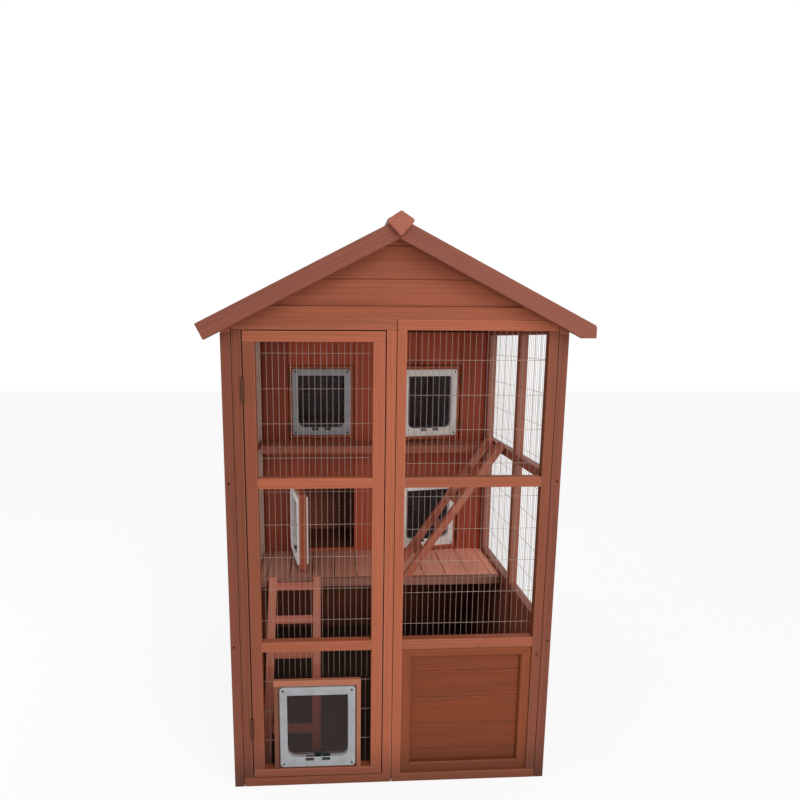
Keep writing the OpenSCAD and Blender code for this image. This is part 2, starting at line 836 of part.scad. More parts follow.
// Platform and shelf

module platform() color(wood_step) {
  z0 = deck_z - deck_t;
  x1 = in_w - slack;
  edge = deck_count * deck_pitch / 2;
  y0 = deck_y + bearer + seam;
  y1 = room_y - slack;
  across([-x1, deck_y, deck_z - bearer], [x1, deck_y + bearer, deck_z]);
  across([-x1, y1 - bearer, z0 - bearer], [x1, y1, z0 - seam]);
  for (s = [0, 1]) mirror([s, 0, 0]) {
    along([x1 - bearer, y0, z0 - bearer], [x1, y1 - bearer - seam, z0 - seam]);
    along([edge + deck_gap / 2, y0, z0], [x1, y1, deck_z]);
  }
  for (k = [0:deck_count - 1]) {
    x = k * deck_pitch - edge;
    along([x + deck_gap / 2, y0, z0], [x + deck_pitch - deck_gap / 2, y1, deck_z]);
  }
}

module upper_shelf() color(wood_step) {
  x1 = in_w - shelf_end;
  z0 = shelf_z - deck_t;
  y0 = shelf_y + bearer + seam;
  y1 = room_y - slack;
  ym = (y0 + y1) / 2;
  across([-x1, shelf_y, shelf_z - shelf_h], [x1, shelf_y + bearer, shelf_z]);
  across([-x1, y0, z0], [x1, ym - seam / 2, shelf_z]);
  across([-x1, ym + seam / 2, z0], [x1, y1, shelf_z]);
  across([-x1, y1 - bearer, z0 - bearer * 0.6], [x1, y1, z0 - seam]);
}

// Ladders

// One ladder, its foot on z = 0 and its run towards +X; it is centred on Y
module ladder() {
  a = ladder_slope;
  foot = ladder_depth / 2 / sin(a);
  top = [ladder_run, ladder_rise];
  side = ladder_depth / 2 * [sin(a), -cos(a)];
  for (s = [0, 1]) mirror([0, s, 0]) translate([0, ladder_w / 2, 0]) rotate([90, 0, 0])
    linear_extrude(ladder_rail) polygon([[-foot, 0], [foot, 0], top + side, top - side]);
  half = ladder_w / 2 - ladder_rail - seam;
  for (k = [0:rungs - 1]) {
    d = rung_first + k * rung_pitch;
    translate([d * cos(a), 0, d * sin(a)]) rotate([0, 90 - a, 0])
      translate([-ladder_depth / 2 + 2, -half, -rung_w / 2]) cube([rung_t, 2 * half, rung_w]);
  }
}

// The lower ladder leans on the platform's front edge
module ladder_lower() color(wood_step) {
  foot = ladder_depth / 2 / sin(ladder_slope) + ladder_reach + roof_play;
  translate([-in_w + ladder_in + ladder_w / 2, deck_y - foot, 0]) rotate([0, 0, 90]) ladder();
}

// The upper ladder leans on the right side panel
module ladder_upper() color(wood_step) {
  reach = ladder_run + ladder_depth / 2 * sin(ladder_slope) + roof_play;
  translate([in_w - wire - reach, front_y + ladder_up_y + ladder_w / 2, deck_z]) ladder();
}

// Room wall and rooms

module room_wall() color(wood_dark) {
  a = col_x - hole_w / 2;
  b = col_x + hole_w / 2;
  x1 = in_w - slack;
  lo0 = rdoor_lo - door_gap;
  lo1 = rdoor_lo + rdoor_h + door_gap;
  hi0 = rdoor_hi - door_gap;
  hi1 = rdoor_hi + rdoor_h + door_gap;
  back = room_y + wall_t;
  upright_sheet(-a, a, room_y, wall_base, wall_top, 2);
  for (s = [0, 1]) mirror([s, 0, 0]) {
    upright_sheet(b, x1, room_y, wall_base, wall_top, 1);
    upright_sheet(a + seam, b - seam, room_y, wall_base, lo0, 3);
    upright_sheet(a + seam, b - seam, room_y, lo1, hi0, 3);
    upright_sheet(a + seam, b - seam, room_y, hi1, wall_top, 3);
    for (x = [a - bearer, b]) {
      upright([x, room_y + board_t + seam, wall_base], [x + bearer, back, wall_top]);
    }
  }
}

// Floors, ceiling and the wall between the rooms
module room_boxes() color(wood_dark) {
  x1 = in_w - slack;
  y0 = room_y + wall_t + slack;
  y1 = rear_y - panel_t - slack;
  hi = shelf_z - floor_t;
  lid = wall_top - parting_t;
  block([-x1, y0, deck_z - floor_t], [x1, y1, deck_z]);
  block([-x1, y0, hi], [x1, y1, shelf_z]);
  block([-x1, y0, lid], [x1, y1, wall_top]);
  block([-parting_t / 2, y0, deck_z + seam], [parting_t / 2, y1, hi - seam]);
  block([-parting_t / 2, y0, shelf_z + seam], [parting_t / 2, y1, lid - seam]);
}

// Cat flap

// Flap coordinates: X from its middle, Z from the frame's underside, Y = 0 on the door's face

// Outline of the way through, grown by g
module way_shape(g) {
  r = way_round + g;
  w = way_w / 2 + g;
  z0 = way_z - g;
  z1 = way_z + way_h + g;
  translate([-w, z0 + r]) square([2 * w, z1 - z0 - r]);
  translate([-w + r, z0]) square([2 * w - 2 * r, r + 1]);
  for (s = [-1, 1]) translate([s * (w - r), z0 + r]) circle(r);
}

module frame_shape(g) {
  r = bezel_round - g;
  w = flap_w / 2;
  for (x = [-1, 1], z = [g + r, flap_h - g - r]) translate([x * (w - g - r), z]) circle(r);
  translate([-w + g + r, g]) square([flap_w - 2 * g - 2 * r, flap_h - 2 * g]);
  translate([-w + g, g + r]) square([flap_w - 2 * g, flap_h - 2 * g - 2 * r]);
}

// Stands a flap outline upright, from y0 to y1
module lift(y0, y1) {
  translate([0, y1, 0]) rotate([90, 0, 0]) linear_extrude(y1 - y0) children();
}

// Hole in the door or board for the sleeve
module sleeve_hole(t) {
  lift(-1, t + 1) way_shape(sleeve_t + sleeve_play);
}

// Room that a lock tab needs in the sill, as far back as y1
module tab_room(x, y1) {
  w = tab_w / 2 + tab_play;
  web = way_z - sleeve_t + tab_play / 2;
  plate_y = -bezel_t + plate_in - tab_play * 1.5;
  top = way_z - slot_top;
  block([x - w, -bezel_t - 1, top - slot_h], [x + w, plate_y + 1, top]);
  block([x - w, plate_y, way_z - plate_drop - 1], [x + w, 0, way_z + 1]);
  block([x - w, -1, web], [x + w, y1, way_z + 1]);
}

// Depth of the red tab's back and of the green tab's back, in a door of thickness t
function red_back(t) = t / 2 - pane_t / 2 - 1;
function green_back(t) = t / 2 + pane_t / 2 + 1 + tab_t;

// Outer frame with its sleeve, and the inner frame that closes it behind
module flap_frame(t) color(white) {
  screw_x = flap_w / 2 - recess_in;
  difference() {
    union() {
      lift(-bezel_t + 2, 0) frame_shape(0);
      lift(-bezel_t, -bezel_t + 2) frame_shape(2);
      lift(-0.5, t) way_shape(sleeve_t);
    }
    lift(-bezel_t - 1, t + 1) way_shape(0);
    translate([0, t / 2, pane_z]) rotate([0, 90, 0])
      cylinder(r = pane_pin_r + pin_play, h = way_w + 2 * pane_pin_l + 1, center = true);
    tab_room(-tab_x, red_back(t) + tab_play);
    tab_room(tab_x, green_back(t) + tab_play);
    for (x = [-screw_x, screw_x], z = [recess_in, flap_h - recess_in]) {
      translate([x, -bezel_t - 1, z]) rotate([-90, 0, 0]) cylinder(r = recess_r, h = recess_d + 1);
    }
  }
  difference() {
    lift(t + seam, t + bezel_t) frame_shape(0);
    lift(t, t + bezel_t + 1) way_shape(0);
  }
}

// Clear pane with its two pins
module flap_pane(t) color(clear) {
  w = way_w / 2 - pane_play;
  z0 = way_z + pane_low;
  z1 = way_z + way_h - pane_play;
  r = way_round - pane_play;
  lift(t / 2 - pane_t / 2, t / 2 + pane_t / 2) {
    translate([-w, z0 + r]) square([2 * w, z1 - z0 - r]);
    translate([-w + r, z0]) square([2 * w - 2 * r, r + 1]);
    for (s = [-1, 1]) translate([s * (w - r), z0 + r]) circle(r);
  }
  translate([0, t / 2, pane_z]) rotate([0, 90, 0])
    cylinder(r = pane_pin_r, h = way_w + 2 * pane_pin_l, center = true);
}

// Lock tab: finger plate in the frame, web under the pane and a blade that rises beside the pane
module flap_tab(back) {
  x0 = -tab_w / 2;
  y = -bezel_t + plate_in;
  web = way_z - sleeve_t + tab_play;
  low = way_z - plate_drop;
  nub = way_z - slot_top - slot_h + tab_play;
  rotate([90, 0, 90]) translate([0, 0, x0]) linear_extrude(tab_w) polygon([
    [y, low], [y + plate_t, low], [y + plate_t, web], [back, web],
    [back, way_z - tab_play / 2], [back - tab_t, way_z - tab_play / 2],
    [back - tab_t, web + tab_t], [y, web + tab_t], [y, nub + nub_h],
    [y - nub_out, nub + nub_h * 0.75], [y - nub_out, nub + nub_h * 0.25], [y, nub]
  ]);
}

module flap_red(t) color(red) translate([-tab_x, 0, 0]) flap_tab(red_back(t));

module flap_green(t) color(green) translate([tab_x, 0, 0]) flap_tab(green_back(t));

module at_main_flap() {
  translate([-flap_x, front_y + flap_inset, flap_z]) children();
}

module flap_main_frame() at_main_flap() flap_frame(flap_board);

module flap_main_pane() at_main_flap() flap_pane(flap_board);

module flap_main_red() at_main_flap() flap_red(flap_board);

module flap_main_green() at_main_flap() flap_green(flap_board);

// Room doors

// Door coordinates: the hinge pin is the Z axis and z = 0 is the door's underside. The left
// doors reach from it to the right, the right doors to the left (hand -1)
pin_x = col_x + rdoor_w / 2 + door_gap / 2;

module at_door(hand, z, open) {
  translate([-hand * pin_x, room_y - pin_out, z]) rotate([0, 0, -hand * open]) children();
}

hinge_zs = [rdoor_h * 0.18, rdoor_h * 0.82];

// Door leaf with the hole for its flap, and the moving halves of its hinges
module room_door(hand) {
  x0 = door_gap / 2;
  mid = x0 + rdoor_w / 2;
  low = (rdoor_h - flap_h) / 2;
  mirror([hand < 0 ? 1 : 0, 0, 0]) {
    difference() {
      along([x0, pin_out, 0], [x0 + rdoor_w, pin_out + rdoor_t, rdoor_h]);
      translate([mid, pin_out, low]) sleeve_hole(rdoor_t);
    }
    for (z = hinge_zs) translate([0, 0, z]) hinge_moving(rhinge_l);
  }
}

// Places a flap in its door
module at_flap(hand) {
  translate([hand * (door_gap + rdoor_w) / 2, pin_out, (rdoor_h - flap_h) / 2]) children();
}

module room_hinges() color(bronze) {
  for (hand = [1, -1], z = [rdoor_lo, rdoor_hi]) at_door(hand, z, 0)
    mirror([hand < 0 ? 1 : 0, 0, 0])
      for (h = hinge_zs) translate([0, 0, h]) hinge_fixed(rhinge_l);
}

module door_ul() color(wood) at_door(1, rdoor_hi, angle_ul) room_door(1);

module flap_ul_frame() at_door(1, rdoor_hi, angle_ul) at_flap(1) flap_frame(rdoor_t);

module flap_ul_pane() at_door(1, rdoor_hi, angle_ul) at_flap(1) flap_pane(rdoor_t);

module flap_ul_red() at_door(1, rdoor_hi, angle_ul) at_flap(1) flap_red(rdoor_t);

module flap_ul_green() at_door(1, rdoor_hi, angle_ul) at_flap(1) flap_green(rdoor_t);

module door_ur() color(wood) at_door(-1, rdoor_hi, angle_ur) room_door(-1);

module flap_ur_frame() at_door(-1, rdoor_hi, angle_ur) at_flap(-1) flap_frame(rdoor_t);

module flap_ur_pane() at_door(-1, rdoor_hi, angle_ur) at_flap(-1) flap_pane(rdoor_t);

module flap_ur_red() at_door(-1, rdoor_hi, angle_ur) at_flap(-1) flap_red(rdoor_t);

module flap_ur_green() at_door(-1, rdoor_hi, angle_ur) at_flap(-1) flap_green(rdoor_t);

module door_ml() color(wood) at_door(1, rdoor_lo, angle_ml) room_door(1);

module flap_ml_frame() at_door(1, rdoor_lo, angle_ml) at_flap(1) flap_frame(rdoor_t);

module flap_ml_pane() at_door(1, rdoor_lo, angle_ml) at_flap(1) flap_pane(rdoor_t);

module flap_ml_red() at_door(1, rdoor_lo, angle_ml) at_flap(1) flap_red(rdoor_t);

module flap_ml_green() at_door(1, rdoor_lo, angle_ml) at_flap(1) flap_green(rdoor_t);

module door_mr() color(wood) at_door(-1, rdoor_lo, angle_mr) room_door(-1);

module flap_mr_frame() at_door(-1, rdoor_lo, angle_mr) at_flap(-1) flap_frame(rdoor_t);

module flap_mr_pane() at_door(-1, rdoor_lo, angle_mr) at_flap(-1) flap_pane(rdoor_t);

module flap_mr_red() at_door(-1, rdoor_lo, angle_mr) at_flap(-1) flap_red(rdoor_t);

module flap_mr_green() at_door(-1, rdoor_lo, angle_mr) at_flap(-1) flap_green(rdoor_t);

// Assembly

front_left_frame();
front_right_frame();
front_right_mesh();
front_right_boards();
front_right_moulding();
side_frame_left();
side_frame_right();
side_mesh_left();
side_mesh_right();
side_boards_left();
side_boards_right();
front_gable();
rear_gable();
rear_frame();
rear_boards();
roof_panel_left();
roof_panel_right();
roof_felt();
rake_boards();
ridge_cap();
ridge_blocks();
room_wall();
room_boxes();
platform();
upper_shelf();
ladder_lower();
ladder_upper();
room_hinges();
main_hinges();
main_door_frame();
main_door_mesh();
flap_surround();
main_door_hinges();
flap_main_frame();
flap_main_pane();
flap_main_red();
flap_main_green();
door_ul();
flap_ul_frame();
flap_ul_pane();
flap_ul_red();
flap_ul_green();
door_ur();
flap_ur_frame();
flap_ur_pane();
flap_ur_red();
flap_ur_green();
door_ml();
flap_ml_frame();
flap_ml_pane();
flap_ml_red();
flap_ml_green();
door_mr();
flap_mr_frame();
flap_mr_pane();
flap_mr_red();
flap_mr_green();
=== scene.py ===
import random
from functools import partial
from math import atan, atan2, ceil, cos, pi, radians, sin, tan

import bmesh
import bpy
from mathutils import Matrix, Vector


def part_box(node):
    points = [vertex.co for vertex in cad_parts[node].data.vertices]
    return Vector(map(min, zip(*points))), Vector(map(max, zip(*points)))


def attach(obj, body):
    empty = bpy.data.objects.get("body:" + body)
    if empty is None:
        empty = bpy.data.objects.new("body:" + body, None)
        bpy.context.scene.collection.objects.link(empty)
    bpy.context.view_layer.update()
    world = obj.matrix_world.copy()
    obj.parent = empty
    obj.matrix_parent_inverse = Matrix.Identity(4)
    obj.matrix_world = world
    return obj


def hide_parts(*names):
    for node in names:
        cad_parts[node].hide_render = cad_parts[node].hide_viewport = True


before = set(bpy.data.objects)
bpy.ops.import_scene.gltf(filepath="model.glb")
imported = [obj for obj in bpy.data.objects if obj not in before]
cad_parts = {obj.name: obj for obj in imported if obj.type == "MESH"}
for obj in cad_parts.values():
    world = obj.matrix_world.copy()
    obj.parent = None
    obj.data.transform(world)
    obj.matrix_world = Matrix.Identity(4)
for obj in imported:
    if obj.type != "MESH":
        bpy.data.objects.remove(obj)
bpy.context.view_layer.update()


# Camera. It stands in front of the main door at the height of its top, and looks a little down and
# to the right, as the photograph does. The shifted lens keeps the house where the photograph has it.
def placed(name, data):
    """A new object of the scene."""
    obj = bpy.data.objects.new(name, data)
    bpy.context.scene.collection.objects.link(obj)
    return obj


camera = placed("camera", bpy.data.cameras.new("camera"))
camera.data.lens = 27.92
camera.data.sensor_width = 36
camera.data.shift_x = 0.0479
camera.data.shift_y = 0.0606
turn, tilt, lean = 0.0552, 0.1747, -0.0044  # radians right, down and about the line of sight
camera.matrix_world = (
    Matrix.Translation((-0.1905, -2.2643, 1.3571)) @ Matrix.Rotation(-turn, 4, "Z")
    @ Matrix.Rotation(pi / 2 - tilt, 4, "X") @ Matrix.Rotation(-lean, 4, "Z"))
bpy.context.scene.camera = camera
bpy.context.scene.view_settings.view_transform = "Standard"


# Studio. A white surround and floor, soft daylight from high in front, and large soft lamps on the
# right, on the left and overhead. The floor glows for the camera and keeps the shadow; under the
# house its colour falls to a dark painted shade, for the ground there lies in deep shade.
def rgb(code):
    """A colour written as an sRGB hex value, in linear values."""
    parts = [int(code[i:i + 2], 16) / 255 for i in (1, 3, 5)]
    return tuple(v / 12.92 if v <= 0.04045 else ((v + 0.055) / 1.055) ** 2.4 for v in parts) + (1,)


def add_node(tree, kind, *feeds, **settings):
    """One node with its settings. Its inputs are fed in their order, or by name from a dict, each by
    a number, a colour, a socket, or a node, whose first output is then meant."""
    node = tree.nodes.new(kind if "Node" in kind else "ShaderNode" + kind)
    for name, value in settings.items():
        setattr(node, name, value)
    named = feeds[0] if feeds and isinstance(feeds[0], dict) else dict(enumerate(feeds))
    for name, value in named.items():
        if isinstance(value, bpy.types.Node):
            value = value.outputs[0]
        if isinstance(value, bpy.types.NodeSocket):
            tree.links.new(value, node.inputs[name])
        else:
            node.inputs[name].default_value = value
    return node


def emptied(owner):
    """Empties the node tree of a new world or material, and gives what adds a node to it."""
    owner.use_nodes = True
    owner.node_tree.nodes.clear()
    return partial(add_node, owner.node_tree)


def blank(name):
    """A new material, what adds a node to it and the place on the piece in metres."""
    material = bpy.data.materials.new(name)
    add = emptied(material)
    return material, add, add("TexCoord").outputs["Object"]


def lamp(name, place, target, size, power, tint):
    """A square lamp that mirrors don't show."""
    light = bpy.data.lights.new(name, "AREA")
    light.size = size
    light.energy = power
    light.color = rgb(tint)[:3]
    obj = placed(name, light)
    obj.location = place
    obj.rotation_euler = (Vector(target) - Vector(place)).to_track_quat("-Z", "Y").to_euler()
    obj.visible_glossy = False


surround_light = 0.44
floor_glow = 0.86
white = (1, 1, 1, 1)
world = bpy.data.worlds.new("surround")
bpy.context.scene.world = world
add = emptied(world)
path = add("LightPath").outputs
mirrored = add("Math", path["Is Glossy Ray"], path["Is Transmission Ray"], operation="MAXIMUM")
seen = add("Math", path["Is Camera Ray"], mirrored, operation="MAXIMUM")
strength = add("Math", seen, 1 - surround_light, surround_light, operation="MULTIPLY_ADD")
add("OutputWorld", add("Background", white, strength))

lamp("key_lamp", (0.75, -2.1, 1.1), (0.1, -0.5, 0.8), 0.9, 12, "#FFF8F0")
lamp("side_lamp", (-3.4, -0.5, 1.5), (0, -0.2, 0.9), 1.8, 32, "#F4F7FF")
lamp("top_lamp", (0.2, 0.2, 4.4), (0, 0, 1), 2.6, 20, "#FFFFFF")
daylight = placed("daylight", bpy.data.lights.new("daylight", "SUN"))
daylight.data.energy = 1.25
daylight.data.angle = radians(40)
daylight.rotation_euler = (radians(90 - 36), 0, radians(20))

floor_paint_and_painted_shade, add, place = blank("studio_floor_paint")
# Inside the house's footprint the floor's colour falls to a dark painted shade; outside it is pale.
side = add("SeparateXYZ", add("VectorMath", place, operation="ABSOLUTE")).outputs
open_x = add("MapRange", side[0], 0.456, 0.474)
open_y = add("MapRange", side[1], 0.527, 0.546)
outside = add("Math", open_x, open_y, operation="MAXIMUM")
tone_and_painted_light = add("Mix", {0: outside, 6: rgb("#4A3A32"), 7: rgb("#F4F4F4")}, data_type="RGBA")
share = add("Math", add("LightPath").outputs["Is Camera Ray"], floor_glow, operation="MULTIPLY")
share = add("Math", share, outside, operation="MULTIPLY")
glow = add("Emission", white, 1.0)
mixed = add("MixShader", share, add("BsdfDiffuse", tone_and_painted_light.outputs[2]), glow)
add("OutputMaterial", mixed)
floor_mesh = bpy.data.meshes.new("studio_floor")
floor_half = 14
floor_mesh.from_pydata(
    [(x * floor_half, y * floor_half, 0) for x, y in ((-1, -1), (1, -1), (1, 1), (-1, 1))],
    [], [(0, 1, 2, 3)])
floor_mesh.materials.append(floor_paint_and_painted_shade)
placed("studio_floor", floor_mesh)


# Front panels. Planed fir battens, screwed through their ends: the left half frames the main door,
# and the right half has two rails between its windows. The stain is orange-brown and the varnish
# satin, and every batten has its edges broken.
def stained_fir(word, stain, dark_grain, edge_wear_joint_and_highlight, rough=0.5):
    """Planed fir under a stain and thin matt varnish: rings and fibres show through, edges are paler,
    partly wear and partly a painted highlight, and the lowest wood is darker, a painted shade near
    the ground with some splashed dirt.

    The figure is drawn in each board's own timber, which the attributes cut and local give; the
    tone attribute also carries the painted light and shade that some boards are given."""
    ring_step = 0.007  # growth rings are 3 mm apart, drawn coarser so that they show
    fibre = 0.0022  # width of a fibre streak; real fibres are finer than the render shows
    streak = 0.016  # width of a darker or lighter band
    wear = 0.0032  # how far the paler edge, wear and painted highlight, reaches from an edge
    material, add, place = blank("stained_fir_" + word)
    local, half, cut = [add("Attribute", attribute_name=kept).outputs["Vector"]
                        for kept in ("local", "half", "cut")]
    tone_and_painted_light = add("Attribute", attribute_name="tone_and_painted_light").outputs["Fac"]
    timber = add("VectorMath", local, cut, operation="ADD")

    rings_at = add("Mapping", {"Vector": timber, "Scale": (0.11, 1, 1)})
    rings = add("TexWave", {
        "Vector": rings_at, "Scale": 0.314 / ring_step, "Distortion": 5.5, "Detail": 3.0,
        "Detail Scale": 0.55, "Detail Roughness": 0.55}, wave_type="RINGS", rings_direction="X")
    late = add("Math", rings.outputs["Fac"], 2.2, operation="POWER")
    drawn = add("Math", late, 0.3, operation="MULTIPLY")
    fibres, bands = [add("TexNoise", {
        "Vector": add("Mapping", {"Vector": timber, "Scale": (1 / long, 1 / wide, 1 / wide)}),
        "Scale": 1.0, "Detail": detail, "Roughness": grit})
        for long, wide, detail, grit in ((0.11, fibre, 5.0, 0.62), (0.45, streak, 3.0, 0.5))]
    knots_at = add("Mapping", {"Vector": timber, "Scale": (4.2, 9.0, 9.0)})
    knots = add("TexVoronoi", {"Vector": knots_at, "Scale": 1.0, "Randomness": 1.0}, feature="F1")
    knot = add("MapRange", knots, 0.012, 0.06, 1.0, 0.0, interpolation_type="SMOOTHSTEP")

    base = add("Mix", {0: drawn, 6: rgb(stain), 7: rgb(dark_grain)}, data_type="RGBA")
    knotted = add("Mix", {0: knot, 6: base.outputs[2], 7: rgb("#5A2C1C")}, data_type="RGBA")
    lights, washes = [add("MapRange", grain, 0.3, 0.7, 0.93, 1.07) for grain in (fibres, bands)]
    level = add("Math", lights, washes, operation="MULTIPLY")
    level = add("Math", level, tone_and_painted_light, operation="MULTIPLY")
    shaded = add("VectorMath", {0: knotted.outputs[2], "Scale": level}, operation="SCALE")

    away = add("VectorMath", local, operation="ABSOLUTE")
    depth = add("SeparateXYZ", add("VectorMath", half, away, operation="SUBTRACT")).outputs
    near = [add("Math", depth[a], depth[b], operation="ADD") for a, b in ((0, 1), (1, 2), (0, 2))]
    nearest = add("Math", near[0], near[1], operation="MINIMUM")
    nearest = add("Math", nearest, near[2], operation="MINIMUM")
    # Paler edges: partly wear, partly a painted highlight where the broken edges catch the light.
    ragged = add("Math", bands, wear * 2.4, nearest, operation="MULTIPLY_ADD")
    edge = add("MapRange", ragged, wear, wear * 2.2, 0.38, 0.0, interpolation_type="SMOOTHSTEP")
    rubbed = add("VectorMath", {0: rgb(edge_wear_joint_and_highlight)[:3], "Scale": tone_and_painted_light}, operation="SCALE")
    colour = add("Mix", {0: edge, 6: shaded, 7: rubbed}, data_type="RGBA").outputs[2]

    gloss = add("MapRange", fibres, 0.3, 0.7, rough - 0.05, rough + 0.09)
    relief = add("Math", late, 0.5, fibres, operation="MULTIPLY_ADD")
    bump = add("Bump", {"Height": relief, "Strength": 0.35, "Distance": 0.0004})
    # Darker towards the ground: painted shade near the ground, with some splashed dirt.
    height = add("SeparateXYZ", place).outputs[2]
    ground_shade_height = add("Math", bands, -0.05, height, operation="MULTIPLY_ADD")
    ground_shade_and_dirt = add("MapRange", ground_shade_height, -0.06, 0.15, 0.4, 1.0, interpolation_type="SMOOTHSTEP")
    colour = add("VectorMath", {0: colour, "Scale": ground_shade_and_dirt}, operation="SCALE")
    varnish = add("BsdfPrincipled", {
        "Base Color": colour, "Roughness": gloss, "IOR": 1.5, "Specular IOR Level": 0.3, "Normal": bump})
    add("OutputMaterial", varnish)
    return material


def facing(origin, grain, normal):
    """The place of a board: X along its grain, Z out of its face, the origin on that face."""
    x, z = Vector(grain).normalized(), Vector(normal).normalized()
    return Matrix.Translation(origin) @ Matrix((x, z.cross(x), z)).transposed().to_4x4()


def span(low, high, count):
    """Values from low to high in equal steps."""
    return [low + (high - low) * i / count for i in range(count + 1)]


def as_mesh(work, name):
    """The mesh that a bmesh has made."""
    mesh = bpy.data.meshes.new(name)
    work.to_mesh(mesh)
    work.free()
    return mesh


def finish(name, mesh, material, node=None, body="root"):
    """Makes the mesh a piece of the house that moves with a body and may stand for a CAD node."""
    mesh.name = name
    mesh.materials.clear()
    mesh.materials.append(material)
    obj = placed(name, mesh)
    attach(obj, body)
    if node:
        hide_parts(node)


joint = 0.0002  # play between neighbours
boards_thick = 0.010
board_v = 0.002  # the bevel of a V joint


class Joinery:
    """The timber of one piece. Every board knows its own size and the part of the tree it came from;
    the map given at the start makes some boards, by number, darker by a factor below one as painted
    shade and lighter by a factor above one as painted light."""

    def __init__(self, painted_light_and_shade=None):
        self.mesh = bmesh.new()
        self.number = self.mesh.verts.layers.int.new("number")
        self.boards = []
        self.painted_light_and_shade = painted_light_and_shade or {}

    def ring(self, points, place):
        """Points of the board that comes next."""
        ring = [self.mesh.verts.new(place @ Vector(p)) for p in points]
        for vert in ring:
            vert[self.number] = len(self.boards)
        return ring

    def skin(self, low, high, place, middle, half):
        """Closes the shell between two rings of points, and notes the board's middle and half size."""
        low, high = self.ring(low, place), self.ring(high, place)
        self.mesh.faces.new(low[::-1])
        self.mesh.faces.new(high)
        for i in range(len(low)):
            j = (i + 1) % len(low)
            self.mesh.faces.new((low[i], low[j], high[j], high[i]))
        self.boards.append((place @ Matrix.Translation(middle), Vector(half)))

    def plank(self, outline, length, place, ends=None):
        """A length of timber with the outline across it. ends gives where both ends are cut."""
        ends = ends or (lambda y, z: (-length / 2, length / 2))
        ys, zs = zip(*outline)
        self.skin([(ends(y, z)[0], y, z) for y, z in outline], [(ends(y, z)[1], y, z) for y, z in outline],
                  place, (0, (min(ys) + max(ys)) / 2, (min(zs) + max(zs)) / 2),
                  (length / 2, (max(ys) - min(ys)) / 2, (max(zs) - min(zs)) / 2))

    def sawn(self, outline, thick, place):
        """A flat board sawn to an outline in its face, which lies on z = 0."""
        xs, ys = zip(*outline)
        self.skin([(x, y, -thick) for x, y in outline], [(x, y, 0) for x, y in outline], place,
                  ((min(xs) + max(xs)) / 2, (min(ys) + max(ys)) / 2, -thick / 2),
                  ((max(xs) - min(xs)) / 2, (max(ys) - min(ys)) / 2, thick / 2))

    def batten(self, low, high, run, place=Matrix()):
        """A square batten between two corners, its grain along the axis run."""
        low, high = Vector(low), Vector(high)
        size = high - low
        axes = [Vector([int(i == (run + k) % 3) for i in range(3)]) for k in range(3)]
        w, h = size[(run + 1) % 3] / 2, size[(run + 2) % 3] / 2
        self.plank([(-w, -h), (w, -h), (w, h), (-w, h)], size[run],
                   place @ Matrix.Translation((low + high) / 2) @ Matrix(axes).transposed().to_4x4())

    def panel(self, low, high, stiles, bottom, top, rails=()):
        """Bottom and top rail that run through, stiles at the given places, rails between these."""
        self.batten(low, (high.x, high.y, bottom), 0)
        self.batten((low.x, low.y, high.z - top), high, 0)
        for x, width in stiles:
            self.batten((x, low.y, bottom + joint), (x + width, high.y, high.z - top - joint), 2)
        left, right = stiles[0][0] + stiles[0][1] + joint, stiles[-1][0] - joint
        for z0, z1 in rails:
            self.batten((left, low.y, z0), (right, high.y, z1), 0)

    def matchboard(self, place, length, edges, thick=boards_thick, v=board_v, ends=None):
        """Boards side by side, their long edges at the given heights, with V joints between them."""
        for y0, y1 in zip(edges[:-1], edges[1:]):
            y0, y1 = y0 + joint / 2, y1 - joint / 2
            self.plank([(y0, -thick), (y1, -thick), (y1, -v), (y1 - v, 0), (y0 + v, 0), (y0, -v)],
                       length, place, ends)

    def finish(self, name, material, slot, node, edge=0.0015, body="root"):
        """Breaks all edges, writes each board's timber into the mesh and makes it a piece."""
        mesh = self.mesh
        bmesh.ops.recalc_face_normals(mesh, faces=mesh.faces)
        sharp = [e for e in mesh.edges if len(e.link_faces) == 2 and e.calc_face_angle() > 0.3]
        bmesh.ops.bevel(mesh, geom=sharp, offset=edge, segments=2, profile=0.5, affect="EDGES",
                        clamp_overlap=True)
        chance = random.Random(name)
        local, half, cut = [mesh.verts.layers.float_vector.new(word) for word in ("local", "half", "cut")]
        tone_and_painted_light = mesh.verts.layers.float.new("tone_and_painted_light")
        timber = []
        for k, (place, size) in enumerate(self.boards):
            heart = chance.uniform(0, 2 * pi)
            far = chance.uniform(0.035, 0.08)
            pith = Vector((chance.uniform(0, 9), far * cos(heart), far * sin(heart)))
            # Each board's tone is a random tone times its painted light and shade.
            random_and_painted_level = chance.uniform(0.94, 1.06) * self.painted_light_and_shade.get(k, 1)
            timber.append((place.inverted(), size, pith, random_and_painted_level))
        for vert in mesh.verts:
            back, vert[half], vert[cut], vert[tone_and_painted_light] = timber[vert[self.number]]
            vert[local] = back @ vert.co
        finish(name, as_mesh(mesh, name), material, node, body)


front_fir = stained_fir("front", "#A1583C", "#733924", "#C4866A")
stile = 0.0275
top_rail = 0.029
bottom_rail = 0.028
window_rails = ((0.443, 0.473), (0.939, 0.969))
seam = 0.0008  # the dark line beside each front panel
# The factors in the last column paint shade: the outer stiles, the left top rail and the right window rails
# are made darker.
for word, left, right, rails, painted_light_and_shade in (
        ("left", seam, seam / 2, (), {1: 0.8, 2: 0.5}),
        ("right", seam / 2, seam, window_rails, {3: 0.55, 4: 0.78, 5: 0.84})):
    low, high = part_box("front_" + word + "_frame")
    panel = Joinery(painted_light_and_shade)
    stiles = ((low.x + left, stile - left), (high.x - stile, stile - right))
    panel.panel(low + Vector((left, 0, 0)), high - Vector((right, 0, 0)), stiles,
                bottom_rail, top_rail, rails)
    panel.finish("front_" + word + "_panel", front_fir, "wood_front", "front_" + word + "_frame")
front_y, front_back = low.y, high.y


